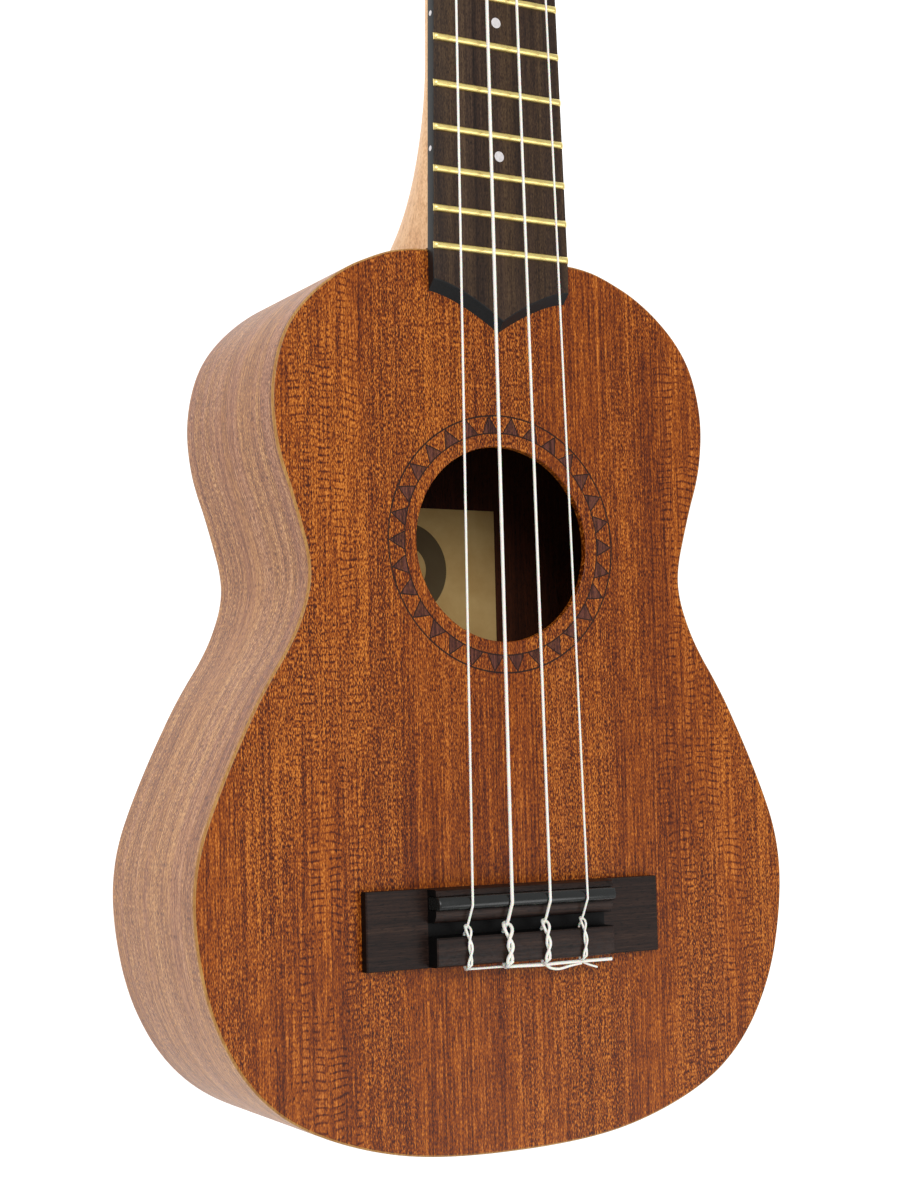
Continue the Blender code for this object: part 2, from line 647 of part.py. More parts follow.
def make_tuner(name, side):
    row = POST_ROWS[name]
    post_x = side * POST_X
    back = -HEAD_THICKNESS - GAP
    half, towards, beyond, thickness = TUNER_PLATE
    metal = (NICKEL, 0.25, 1.0)
    gear_middle = back - thickness - GEAR_BELOW_PLATE - GEAR_THICKNESS / 2
    worm_y = row - GEAR_RADIUS - WORM_RADIUS - WORM_CLEARANCE
    head = head_matrix(0, 0, 0)

    plate = make_box("tuner_plate_" + name, (post_x - half, row - towards, back - thickness),
                     (post_x + half, row + beyond, back), metal, frame=head)
    hole = make_cylinder("plate_hole_" + name, POST_HOLE_RADIUS, 10,
                         head_matrix(post_x, row, back), cutter=True)
    combine(plate, hole, "DIFFERENCE")
    inner, outer, ear_half, ear_height = EAR
    bottom = back - thickness - ear_height
    for end in (-1, 1):
        faces = sorted((post_x + end * inner, post_x + end * outer))
        ear = make_box(f"ear_{name}_{'inner' if end * side < 0 else 'outer'}",
                       (faces[0], worm_y - ear_half, bottom),
                       (faces[1], worm_y + ear_half, back - thickness / 2), cutter=True,
                       frame=head)
        combine(plate, ear, "UNION")
    shaft_frame = head_matrix(post_x, worm_y, gear_middle) @ Matrix.Rotation(side * pi / 2, 4, "Y")
    bearing = make_cylinder("bearing_" + name, SHAFT_RADIUS + GAP, 16, shaft_frame, cutter=True)
    combine(plate, bearing, "DIFFERENCE")

    worm_half = inner - GAP
    shaft_end = BUTTON_AT - SHAFT_IN_BUTTON
    make_turned("worm_shaft_" + name, (
        (0.0, shaft_end), (SHAFT_RADIUS, shaft_end), (SHAFT_RADIUS, worm_half),
        (WORM_RADIUS, worm_half), (WORM_RADIUS, -worm_half), (SHAFT_RADIUS, -worm_half),
        (SHAFT_RADIUS, -outer - 0.8), (0.0, -outer - 0.8)), shaft_frame, metal)

    length, width, depth = BUTTON_SIZE
    button = make_cylinder("button_" + name, 1.0, depth, shaft_frame, (PEARL, 0.25))
    shape = Matrix.Rotation(pi / 2, 4, "Y") @ Matrix.Diagonal((length, width, 1.0, 1.0))
    shape = Matrix.Translation((0, 0, BUTTON_AT * MM)) @ shape
    button.data.transform(shape)
    rounding = button.modifiers.new("rounding", "BEVEL")
    rounding.width = BUTTON_ROUNDING * MM
    rounding.segments = 2
    rounding.limit_method = "ANGLE"
    rounding.angle_limit = radians(50)
    socket_frame = shaft_frame @ Matrix.Translation((0, 0, (BUTTON_AT - 6.2) * MM))
    socket = make_cylinder("socket_" + name, SHAFT_RADIUS + GAP, 10, socket_frame, cutter=True,
                           sides=12)
    combine(button, socket, "DIFFERENCE")

    post_frame = head_matrix(post_x, row, 0)
    shoulder = gear_middle + GEAR_THICKNESS / 2 + GAP
    spigot_end = shoulder - GEAR_THICKNESS - SPIGOT_PAST_GEAR
    make_turned("post_" + name, (
        (0.0, POST_TOP), (POST_RADIUS - 0.4, POST_TOP), (POST_RADIUS, POST_TOP - 0.6),
        (POST_RADIUS, shoulder), (SPIGOT_RADIUS, shoulder),
        (SPIGOT_RADIUS, spigot_end), (0.0, spigot_end)), post_frame, metal)
    bore = [((SPIGOT_RADIUS + GAP) * cos(a), (SPIGOT_RADIUS + GAP) * sin(a))
            for a in np.linspace(0, 2 * pi, 16, endpoint=False)]
    make_outline("gear_" + name, (gear_outline(), bore), GEAR_THICKNESS,
                 head_matrix(post_x, row, gear_middle), (BRASS, 0.3, 1.0))


clear_scene()
PARTS = new_collection("ukulele")
CUTTERS = new_collection("cutters")
make_plates()
make_sides_and_linings()
make_blocks()
make_inside()
make_neck()
make_fretboard()
make_frets()
make_nut()
make_bridge()
make_saddle()
make_strings()
for string_name, _, string_x, _ in STRINGS:
    make_tuner(string_name, -1 if string_x < 0 else 1)
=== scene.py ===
"""Looks of the soprano ukulele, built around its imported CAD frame.

Everything is in the frame of the CAD, in metres: +Z out of the soundboard and +Y along the
neck. Sizes are written in millimetres and multiplied by MM; places come from the CAD nodes.
"""
import json
from math import atan2, cos, pi, radians, sin

import bmesh
import bpy
import numpy as np
from mathutils import Matrix, Vector
from mathutils.geometry import tessellate_polygon


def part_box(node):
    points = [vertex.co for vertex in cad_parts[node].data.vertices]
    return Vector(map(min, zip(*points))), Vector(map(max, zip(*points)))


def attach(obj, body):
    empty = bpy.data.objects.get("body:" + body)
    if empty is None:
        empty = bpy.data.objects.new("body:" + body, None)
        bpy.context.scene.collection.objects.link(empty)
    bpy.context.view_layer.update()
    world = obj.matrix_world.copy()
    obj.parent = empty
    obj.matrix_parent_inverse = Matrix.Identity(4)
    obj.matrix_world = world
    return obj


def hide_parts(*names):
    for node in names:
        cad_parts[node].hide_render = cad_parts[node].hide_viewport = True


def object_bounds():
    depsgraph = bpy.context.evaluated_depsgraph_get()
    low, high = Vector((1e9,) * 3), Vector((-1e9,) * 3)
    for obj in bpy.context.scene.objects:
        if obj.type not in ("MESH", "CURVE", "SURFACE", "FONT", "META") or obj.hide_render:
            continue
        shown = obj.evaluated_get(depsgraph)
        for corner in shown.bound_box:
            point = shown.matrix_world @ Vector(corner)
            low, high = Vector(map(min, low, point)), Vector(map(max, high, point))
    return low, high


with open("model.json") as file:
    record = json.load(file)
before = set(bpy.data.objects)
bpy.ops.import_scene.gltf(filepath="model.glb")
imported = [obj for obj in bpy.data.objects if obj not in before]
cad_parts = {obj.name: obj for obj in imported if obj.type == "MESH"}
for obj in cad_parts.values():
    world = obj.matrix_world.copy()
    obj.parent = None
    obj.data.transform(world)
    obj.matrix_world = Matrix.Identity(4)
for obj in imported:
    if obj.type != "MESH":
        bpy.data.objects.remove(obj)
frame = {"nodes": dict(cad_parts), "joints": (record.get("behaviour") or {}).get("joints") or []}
CAD_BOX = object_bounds()
NODES = frame["nodes"]
SCENE = bpy.context.scene
MM = 0.001
BODY = "ukulele"

# Places read from the CAD nodes, in metres
TOP_UNDER, TOP = (corner.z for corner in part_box("soundboard"))
TAIL_Y, BODY_NECK_Y = (corner.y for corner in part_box("soundboard"))
BACK_OUTSIDE, BACK_INSIDE = (corner.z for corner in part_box("back"))
BOARD_TIP_Y, NUT_Y = (corner.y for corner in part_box("fretboard"))
BOARD_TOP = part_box("fretboard")[1].z
BRIDGE_LOW, BRIDGE_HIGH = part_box("bridge")
SADDLE_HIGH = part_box("saddle")[1]

# Shapes that the CAD and the looks share, in millimetres
JOINT = (NUT_Y - BODY_NECK_Y) / MM  # from the nut down to the body
BOARD_HALF_NUT = 17.3  # half widths of the fretboard at the nut and at the body
BOARD_HALF_BODY = 21.5
BOARD_END_SCOOP = 9.8  # how far the point at the end stands beyond its shoulders
NECK_DEPTH = 13.8
HEEL_DEPTH = 56.0
HEEL_START = 122.0  # below the nut
HEEL_POWER = 1.45  # how the depth grows along the heel
NECK_ROUNDNESS = 1.75  # exponent of the neck's section, where 2 is an ellipse
HEEL_FLARE = (0.9, 6.0)  # what the heel adds to it at the body, and how late
NUT_THICKNESS = 4.8
HEAD_TILT = radians(12.0)
HEAD_THICKNESS = 11.0
HEAD_SCOOP = 0.55  # how much the underside narrows towards the neck, and where it ends
HEAD_SCOOP_END = 20.0
HEAD_SIDE = ((17.3, 1.0), (18.2, 8.0), (22.0, 17.0), (25.2, 27.0), (27.0, 50.0), (28.6, 85.0),
             (29.5, 103.0))
HEAD_CROWN = ((29.5, 103.0), (27.6, 107.2), (24.0, 108.5), (17.0, 107.9), (9.0, 110.2),
              (4.0, 113.4), (0.0, 114.6))
STRINGS = {"g": (0.66, -13.0, -17.8), "c": (0.94, -4.33, -5.93),
           "e": (0.78, 4.33, 5.93), "a": (0.60, 13.0, 17.8)}  # diameter, x at nut, x at saddle
BASS = "gc"  # the strings and tuners of the bass side
STRING_HEIGHT_NUT = 4.85
STRING_AT_POST = 4.5  # height on the post
POST_X = 14.0
POST_ROWS = {"g": 38.0, "c": 76.0, "e": 76.0, "a": 38.0}  # up the headstock
POST_RADIUS = 2.8
BLOCK_HALF = 27.4  # the bridge's raised middle
WING_HEIGHT = 3.0
BLOCK_TOP = 8.0
TIE_FRONT = 357.2  # below the nut
TIE_HOLE_HEIGHT = 5.9
TIE_HOLE_RADIUS = 1.0
TIE_HOLE_LENGTH = 10.5
BRIDGE_PROFILE = (  # (below the nut, height) from the front edge of the bridge to its back
    (344.8, 0.05), (344.8, 2.65), (344.82, 2.92), (344.84, 3.0), (344.86, 3.05),
    (344.86, 6.9), (344.95, 7.4), (345.2, 7.78), (345.7, 7.98), (346.3, 8.03),
    (346.55, 8.0), (346.62, 7.9), (346.62, 3.7), (350.38, 3.7), (350.38, 7.76), (350.48, 7.8),
    (351.8, 7.55), (352.9, 6.95), (353.4, 6.5), (353.6, 5.9), (353.6, 3.25), (353.75, 3.04),
    (357.0, 3.04), (357.2, 3.25), (357.2, 7.3), (357.32, 7.75), (357.7, 8.0), (363.8, 8.0),
    (364.5, 7.75), (364.92, 7.2), (365.0, 6.5), (365.0, 3.05), (365.04, 3.0), (365.2, 2.9),
    (365.3, 2.65), (365.3, 0.05),
)
CHANNEL = (353.5, TIE_FRONT + 0.2)  # gap between the ridge and the tie block, below the nut
BRIDGE_BACK = BRIDGE_PROFILE[-1][0]
SADDLE_AT = 349.0  # where the strings bend, below the nut
SADDLE_TOP = 9.64
SADDLE_PROFILE = (  # (below the nut, height), slanting up towards the strings' bend
    (346.7, 3.75), (346.7, 8.45), (346.82, 8.8), (347.2, 9.15), (347.8, 9.42), (348.5, SADDLE_TOP),
    (349.1, SADDLE_TOP), (349.6, 9.48), (350.0, 9.1), (350.22, 8.7), (350.3, 8.3), (350.3, 3.75),
)

# The picture: the camera's place, direction, roll and lens, then the light
CAMERA_EYE = Vector((-0.27425, -0.16128, 0.52131))
CAMERA_FORWARD = Vector((0.48552, 0.07904, -0.87065))
CAMERA_UP = Vector((-0.01891, 0.99662, 0.07993))
CAMERA_LENS = 59.35
FLOOR_GLOW = 1.0  # a lit white table: no shadow shows on it
SKY_STRENGTH = 0.62
LIT_POINT = (0, -0.1, 0.03)
WHITE = (1.0, 1.0, 1.0, 1.0)


# ---- materials

def srgb(red, green, blue):
    """Linear colour from 0-255 display values."""
    values = np.array((red, green, blue)) / 255
    linear = np.where(values <= 0.04045, values / 12.92, ((values + 0.055) / 1.055) ** 2.4)
    return (*linear.tolist(), 1.0)


class Material:
    """A Principled material with short calls for its nodes."""

    def __init__(self, name, colour, roughness, **settings):
        self.made = bpy.data.materials.new(name)
        self.made.use_nodes = True
        self.tree = self.made.node_tree
        self.shader = self.tree.nodes["Principled BSDF"]
        self.shader.inputs["Base Color"].default_value = colour
        self.shader.inputs["Roughness"].default_value = roughness
        for key, value in settings.items():
            self.shader.inputs[key.replace("_", " ")].default_value = value

    def node(self, kind, settings=None, **inputs):
        made = self.tree.nodes.new("ShaderNode" + kind)
        for key, value in (settings or {}).items():
            setattr(made, key, value)
        for key, value in inputs.items():
            self.feed(made.inputs[key.replace("_", " ")], value)
        return made

    def feed(self, socket, value):
        if isinstance(value, bpy.types.NodeSocket):
            self.tree.links.new(value, socket)
        else:
            socket.default_value = value

    def math(self, operation, first, second=0.0, third=0.0):
        made = self.node("Math", {"operation": operation})
        for socket, value in zip(made.inputs, (first, second, third)):
            self.feed(socket, value)
        return made.outputs[0]

    def times(self, first, second):
        return self.math("MULTIPLY", first, second)

    def minus(self, first, second):
        return self.math("SUBTRACT", first, second)

    def space(self, uv=False, order=None):
        """Position on the piece in millimetres; order swaps its axes, to lay grain along Y."""
        place = self.node("TexCoord").outputs["UV" if uv else "Object"]
        scaled = self.node("VectorMath", {"operation": "SCALE"}, Scale=1 / MM)
        self.feed(scaled.inputs[0], place)
        if not order:
            return scaled.outputs[0]
        parts = self.node("SeparateXYZ", Vector=scaled.outputs[0])
        joined = self.node("CombineXYZ")
        for socket, axis in zip(joined.inputs, order):
            self.feed(socket, parts.outputs[axis])
        return joined.outputs[0]

    def noise(self, space, size, detail=2.0, roughness=0.5, distortion=0.0, offset=0.0):
        """Noise from 0 to 1 whose features are about as large as size, in millimetres."""
        placed = self.node("Mapping", Vector=space, Scale=[1 / s for s in size],
                           Location=(offset, offset * 0.7, offset * 1.3))
        made = self.node("TexNoise", Vector=placed.outputs[0], Scale=1.0, Detail=detail,
                         Roughness=roughness, Distortion=distortion)
        return made.outputs["Fac"]

    def ramp(self, factor, *stops):
        """Colour from (place, colour) stops; a plain number is a grey."""
        made = self.node("ValToRGB", Fac=factor)
        elements = made.color_ramp.elements
        while len(elements) < len(stops):
            elements.new(0.5)
        for element, (place, colour) in zip(elements, stops):
            element.position = place
            element.color = (colour,) * 3 + (1.0,) if isinstance(colour, float) else colour
        return made.outputs["Color"]

    def between(self, factor, levels, low, high):
        """Grey or colour from low to high as a factor passes between two levels."""
        return self.ramp(factor, (levels[0], low), (levels[1], high))

    def tone(self, *parts):
        """A half, plus how far each factor is from a half times its weight."""
        total = 0.5
        for factor, weight in parts:
            total = self.math("MULTIPLY_ADD", self.minus(factor, 0.5), weight, total)
        return total

    def away(self, factor, level):
        return self.math("ABSOLUTE", self.minus(factor, level))

    def near(self, factor, level, width):
        """1 where a factor is at a level, falling to 0 at a width from it."""
        part = self.math("DIVIDE", self.away(factor, level), width)
        return self.math("MAXIMUM", self.minus(1.0, part))

    def within(self, factor, level, width):
        """1 where a factor is less than a width from a level, else 0."""
        return self.math("LESS_THAN", self.away(factor, level), width)

    def radius(self, x, y):
        squares = self.math("ADD", self.math("POWER", x, 2.0), self.math("POWER", y, 2.0))
        return self.math("SQRT", squares)

    def mix(self, factor, first, second, blend="MIX"):
        made = self.node("Mix", {"data_type": "RGBA", "blend_type": blend})
        self.feed(made.inputs[0], factor)
        self.feed(made.inputs[6], first)
        self.feed(made.inputs[7], second)
        return made.outputs[2]

    def colour(self, value):
        self.feed(self.shader.inputs["Base Color"], value)

    def rough(self, value):
        self.feed(self.shader.inputs["Roughness"], value)

    def bump(self, height, strength, distance):
        made = self.node("Bump", Height=height, Strength=strength, Distance=distance * MM)
        self.feed(self.shader.inputs["Normal"], made.outputs["Normal"])


# Features of grain: size across, along and through it in millimetres, detail, roughness, waviness
STRAIGHT = ((0.62, 70, 12), 1.5, 0.6, 0.05)
FIBRE = ((0.40, 5.0, 2.0), 1, 0.5, 0.2)
DASH = ((0.24, 0.90, 0.6), 1, 0.5, 0.15)
DASH_PATCH = ((20, 130, 40), 1, 0.5, 0.2)
RUNG_SWAY = ((8.0, 9.0, 6.0), 1, 0.4, 0.0)
RUNG_PATCH = ((1.9, 26, 12), 1, 0.5, 0.1)
PORE = ((0.36, 1.8, 1.0), 1, 0.4, 0.0)
VEIL = ((3.8, 130, 30), 2, 0.5, 0.2)
BAND_REACH = (260, 60)  # along and through; across it is the wood's own ribbon width
BAND_DETAIL = (3, 0.55, 0.4)
# Levels of those noises between which a feature comes in, and how much of it is seen
DASH_LEVELS = (0.38, 0.58)
RUNG_LEVELS = (0.48, 0.56)
PORE_LEVELS = (0.60, 0.70)
VEIL_LEVELS = (0.44, 0.66)
GLOSS_LEVELS = (0.35, 0.65)
CLOUD_LEVELS = (0.3, 0.7)
FIBRE_SHARE = 0.8  # weight of the fibres, as a part of the lines'
QUIET_SHARE = 0.45  # weight of the dashes where they are weakest
RUNGS_PER_MM = 0.48
RUNG_SWING = 2.0  # how far the sway shifts the rungs, in rungs
RUNG_HALF = 0.2  # half width of a rung, as a part of the step between rungs
RUNG_MEAN = 0.25  # what is taken off the rungs, so that they don't darken the wood as a whole
VEIL_TINT = (0.84, 0.80, 1.15, 1.0)
SHADE_PLACES = (0.0, 0.27, 0.5, 0.74, 1.0)
GLOSS_SPREAD = 0.08  # how far the roughness goes either way with the dashes


def wood(name, shades, order="XYZ", uv=False, ribbon=9.0, bands=0.7, lines=0.6, dashes=3.0,
         ladder=0.0, figured=(), pores=0.3, veil=0.0, roughness=0.42, offset=0.0, figure=None):
    """Open-pored wood; its five shades run from dark pores to bright fibres.

    The weights say how much is seen of the wide bands, the straight lines and fibres, the
    short wavy dashes, the rungs of cross figure, the open pores and the cooler, purplish
    stripes. figured gives the middle and half width of each strip that has cross figure.
    """
    shades = [srgb(*shade) for shade in shades]
    made = Material(name, shades[2], roughness, Specular_IOR_Level=0.22)
    space = made.space(uv, order)
    band = made.noise(space, (ribbon, *BAND_REACH), *BAND_DETAIL, offset)
    straight = made.noise(space, *STRAIGHT, offset + 3)
    fibre = made.noise(space, *FIBRE, offset + 5)
    dash = made.noise(space, *DASH, offset + 7)
    patch = made.noise(space, *DASH_PATCH, offset + 13)
    weight = made.times(made.between(patch, DASH_LEVELS, QUIET_SHARE, 1.0), dashes)
    value = made.tone((band, bands), (straight, lines), (fibre, FIBRE_SHARE * lines),
                      (dash, weight))
    if ladder:
        value = made.minus(value, cross_figure(made, space, ladder, figured, offset))
    pore = made.noise(space, *PORE, offset + 23)
    value = made.minus(value, made.between(pore, PORE_LEVELS, 0.0, pores))
    colour = made.ramp(value, *zip(SHADE_PLACES, shades))
    if veil:
        cool = made.noise(space, *VEIL, offset + 29)
        colour = made.mix(made.between(cool, VEIL_LEVELS, 0.0, veil), colour,
                          made.mix(1.0, colour, VEIL_TINT, "MULTIPLY"))
    if figure:
        colour = figure(made, space, colour)
    made.colour(colour)
    made.rough(made.between(dash, GLOSS_LEVELS, roughness - GLOSS_SPREAD,
                            roughness + GLOSS_SPREAD))
    made.bump(value, 0.25, 0.05)
    return made.made


def cross_figure(made, space, depth, strips, offset):
    """Rungs that cross the grain in a few columns of each strip."""
    across, along, _ = made.node("SeparateXYZ", Vector=space).outputs
    sway = made.noise(space, *RUNG_SWAY, offset + 11)
    beat = made.math("MULTIPLY_ADD", along, RUNGS_PER_MM, made.times(sway, RUNG_SWING))
    rungs = made.near(made.math("FRACT", beat), 0.5, RUNG_HALF)
    where = made.noise(space, *RUNG_PATCH, offset + 17)
    area = 0.0
    for middle, half_width in strips:
        area = made.math("MAXIMUM", area, made.near(across, middle, half_width))
    zone = made.times(made.between(where, RUNG_LEVELS, 0.0, depth),
                      made.between(area, (0.0, 0.5), 0.0, 1.0))
    return made.times(made.minus(rungs, RUNG_MEAN), zone)


# The ring burnt round the soundhole, in millimetres
RING_INNER = 30.4  # radii of its two circles
RING_OUTER = 35.2
CIRCLES = ((RING_INNER, 0.2), (RING_OUTER, 0.24))  # radius and half width
TRIANGLES = 30
TRIANGLE_HEIGHT = 0.93  # as a part of the room between the circles
TRIANGLE_SLOPE = 1.22  # what it loses from its middle to half the way to the next one
TRIANGLE_LINE = 0.07
TRIANGLE_COVER = 0.84  # how much of the wood the fill and the lines hide
LINE_COVER = 0.92
CHAR_GRAIN = ((0.55, 14, 5), 2, 0.6, 0.0, 31)


def rosette(made, space, colour):
    """Ring of triangles burnt into the soundboard between two thin circles."""
    x, y, _ = made.node("SeparateXYZ", Vector=space).outputs
    x = made.minus(x, HOLE.x / MM)
    y = made.minus(y, HOLE.y / MM)
    radius = made.radius(x, y)
    turn = made.math("ARCTAN2", y, x)
    pitch = made.math("FRACT", made.math("MULTIPLY_ADD", turn, TRIANGLES / (2 * pi),
                                         0.5 + TRIANGLES))
    rise = made.math("DIVIDE", made.minus(radius, RING_INNER), RING_OUTER - RING_INNER)
    edge = made.minus(made.minus(TRIANGLE_HEIGHT, rise),
                      made.times(made.times(made.away(pitch, 0.5), 2.0), TRIANGLE_SLOPE))
    inside = made.times(made.math("GREATER_THAN", edge, 0.0),
                        made.math("GREATER_THAN", rise, 0.0))
    outline = made.times(made.within(edge, 0.0, TRIANGLE_LINE), made.within(rise, 0.5, 0.5))
    circles = [made.within(radius, *circle) for circle in CIRCLES]
    burnt = made.math("MAXIMUM", made.math("MAXIMUM", *circles), outline)
    fill = made.ramp(made.noise(space, *CHAR_GRAIN), (0.38, srgb(34, 16, 18)),
                     (0.64, srgb(96, 56, 48)))
    colour = made.mix(made.times(inside, TRIANGLE_COVER), colour, fill)
    return made.mix(made.times(burnt, LINE_COVER), colour, srgb(30, 13, 8))


def plain(name, colour, roughness, mottle=0.06, size=3.0, bump=0.05, **settings):
    """Finish with a slight unevenness of colour, gloss and surface."""
    made = Material(name, colour, roughness, **settings)
    space = made.space()
    cloud = made.noise(space, (size, size, size), 3, 0.55)
    grains = made.noise(space, (0.12, 0.12, 0.12), 2, 0.5, 0.0, 5)
    tint = made.between(cloud, CLOUD_LEVELS, 1 - mottle, 1 + mottle)
    made.colour(made.mix(1.0, colour, tint, "MULTIPLY"))
    made.rough(made.between(cloud, CLOUD_LEVELS, max(0.02, roughness - 0.05), roughness + 0.06))
    made.bump(grains, bump, 0.02)
    return made.made


# ---- mesh tools

class Skin:
    """Builds one closed mesh from loops of points."""

    def __init__(self):
        self.shape = bmesh.new()
        self.uv = self.shape.loops.layers.uv.new("UVMap")

    def loop(self, points):
        return [self.shape.verts.new(point) for point in points]

    def bridge(self, first, second, material=0):
        """Faces between two loops; where they share a corner it is a triangle."""
        for i in range(len(first)):
            j = (i + 1) % len(first)
            corners = (first[i], first[j], second[j], second[i])
            face = self.shape.faces.new(tuple(dict.fromkeys(corners)))
            face.material_index = material

    def cap(self, outer, holes=(), material=0):
        loops = [outer, *holes]
        verts = [vert for loop in loops for vert in loop]
        for triple in tessellate_polygon([[vert.co for vert in loop] for loop in loops]):
            face = self.shape.faces.new([verts[i] for i in triple])
            face.material_index = material

    def stack(self, loops):
        """Closed piece through loops of equal length, with both ends filled."""
        for first, second in zip(loops, loops[1:]):
            self.bridge(first, second)
        self.cap(loops[0])
        self.cap(loops[-1])

    def wrap(self, material):
        """Position map that runs round the faces of one material, with height across it."""
        run = 0.0
        for face in self.shape.faces:
            if face.material_index != material:
                continue
            start, end = face.verts[0].co, face.verts[1].co
            length = (end.xy - start.xy).length
            for corner in face.loops:
                along = run if (corner.vert.co.xy - start.xy).length < length / 2 else run + length
                corner[self.uv].uv = (along, corner.vert.co.z)
            run += length

    def done(self, name, materials, body=BODY, replaces=(), angle=35.0):
        bmesh.ops.recalc_face_normals(self.shape, faces=self.shape.faces)
        return settle(from_bmesh(name, self.shape), materials, body, replaces, angle)


def loft(name, rings, material, body=BODY, replaces=(), angle=35.0):
    """Closed piece of one material through rings of points, with both ends filled."""
    skin = Skin()
    skin.stack([skin.loop(points) for points in rings])
    skin.done(name, (material,), body, replaces, angle)


def link(obj):
    SCENE.collection.objects.link(obj)


def from_bmesh(name, shape):
    mesh = bpy.data.meshes.new(name)
    shape.to_mesh(mesh)
    shape.free()
    return bpy.data.objects.new(name, mesh)


def settle(obj, materials, body=BODY, replaces=(), angle=35.0):
    """Gives a piece its materials, shading and body, and hides the CAD nodes it stands for."""
    link(obj)
    for material in materials:
        obj.data.materials.append(material)
    if obj.type == "MESH" and angle:
        obj.data.shade_smooth()
        obj.data.set_sharp_from_angle(angle=radians(angle))
    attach(obj, body)
    if replaces:
        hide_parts(*replaces)
    return obj


def spline(a, b, c, d, t):
    """Point of a Catmull-Rom spline between b and c."""
    return 0.5 * (2 * b + (c - a) * t + (2 * a - 5 * b + 4 * c - d) * t * t
                  + (3 * b - a - 3 * c + d) * t ** 3)


def closed_curve(points, steps):
    """Smooth closed curve through points, as an array with steps per span."""
    points = np.array(points)
    before, after, beyond = (np.roll(points, shift, 0) for shift in (1, -1, -2))
    made = [spline(before, points, after, beyond, t) for t in np.arange(steps) / steps]
    return np.stack(made, axis=1).reshape(-1, 2)


def open_curve(points, steps):
    """Smooth open curve through points, which may be plane or solid."""
    points = np.array(points, float)
    guided = np.vstack((2 * points[0] - points[1], points, 2 * points[-1] - points[-2]))
    made = [spline(*four, t) for four in zip(guided, guided[1:], guided[2:], guided[3:])
            for t in np.arange(steps) / steps]
    return np.array(made + [points[-1]])


def left_of(curve):
    """Unit vectors to the left of a closed curve's direction, one for each point."""
    tangent = np.roll(curve, -1, 0) - np.roll(curve, 1, 0)
    tangent /= np.linalg.norm(tangent, axis=1)[:, None]
    return np.column_stack((-tangent[:, 1], tangent[:, 0]))


def rounding(radius, steps):
    """(across, down) along a rounded edge, from its side up to its face."""
    return [(radius * (1 - cos(a)), radius * (1 - sin(a))) for a in np.linspace(0, pi / 2, steps)]


def mirrored(reach, ends):
    """(x, scale) along a bar, from (distance to the end, scale) at one of its ends."""
    first = [(inner - reach, scale) for inner, scale in ends]
    return first + [(-x, scale) for x, scale in first[::-1]]


def mm(x, y, z):
    return Vector((x * MM, y * MM, z * MM))


def full_turn(steps):
    return np.linspace(0, 2 * pi, steps, endpoint=False)


def level(points, z):
    return [(x, y, z) for x, y in points]


def ring(centre, radius, z, steps=96):
    return [(centre.x + radius * cos(a), centre.y + radius * sin(a), z)
            for a in full_turn(steps)]


def refined(node, name, material, width, segments=2, angle=40.0, body=BODY):
    """A finer piece from a CAD node: same shape, welded, with its sharp edges rounded."""
    shape = bmesh.new()
    shape.from_mesh(NODES[node].data)
    bmesh.ops.remove_doubles(shape, verts=shape.verts, dist=0.002 * MM)
    bmesh.ops.dissolve_limit(shape, angle_limit=radians(1.0), verts=shape.verts,
                             edges=shape.edges)
    sharp = [e for e in shape.edges if len(e.link_faces) == 2
             and e.calc_face_angle(0.0) > radians(angle)]
    bmesh.ops.bevel(shape, geom=sharp, offset=width * MM, segments=segments, profile=0.5,
                    affect="EDGES", clamp_overlap=True)
    settle(from_bmesh(name, shape), (material,), body, (node,))


def turned(name, profile, matrix, material, body, replaces=(), steps=40):
    """Turned piece from (radius, height) points in millimetres, listed from the top down."""
    rings = [[matrix @ mm(radius * cos(a), radius * sin(a), height)
              for a in full_turn(steps)] for radius, height in profile]
    loft(name, rings, material, body, replaces, 40.0)


def tube(name, points, diameter, material, body=BODY, replaces=()):
    """Round string along world points in metres."""
    curve = bpy.data.curves.new(name, "CURVE")
    curve.dimensions = "3D"
    curve.bevel_depth = diameter * MM / 2
    curve.bevel_resolution = 4
    curve.use_fill_caps = True
    route = curve.splines.new("POLY")
    route.points.add(len(points) - 1)
    for place, point in zip(route.points, points):
        place.co = (*point, 1.0)
    settle(bpy.data.objects.new(name, curve), (material,), body, replaces)


def head_matrix(x, y, z):
    """Frame tilted with the headstock, at a point of the headstock's own frame."""
    hinge = Matrix.Translation((0.0, NUT_Y + NUT_THICKNESS * MM, TOP))
    tilt = Matrix.Rotation(-HEAD_TILT, 4, "X")
    return hinge @ tilt @ Matrix.Translation(Vector((x, y, z)) * MM)


# ---- outline of the body

def unique_plan(node):
    """Plan positions of a plate's corners, rounded to a hundredth of a millimetre."""
    return {(round(v.co.x, 5), round(v.co.y, 5)) for v in NODES[node].data.vertices}


def body_outline():
    """Smooth outline from the neck end round the treble side."""
    middle = BODY_NECK_Y * 0.55 + TAIL_Y * 0.45
    corners = sorted(unique_plan("back"), key=lambda p: -((atan2(p[1] - middle, p[0]) - pi / 2)
                                                          % (2 * pi)) % (2 * pi))
    return closed_curve(corners, 4)


OUTLINE = body_outline()
INWARD = -left_of(OUTLINE)
HOLE_EDGE = np.array(sorted(unique_plan("soundboard") - unique_plan("back")))
HOLE = Vector((*HOLE_EDGE.mean(axis=0), TOP))
HOLE_RADIUS = float(np.linalg.norm(HOLE_EDGE - HOLE_EDGE.mean(axis=0), axis=1).mean())


def inset(distance):
    return OUTLINE + INWARD * distance


# ---- finishes

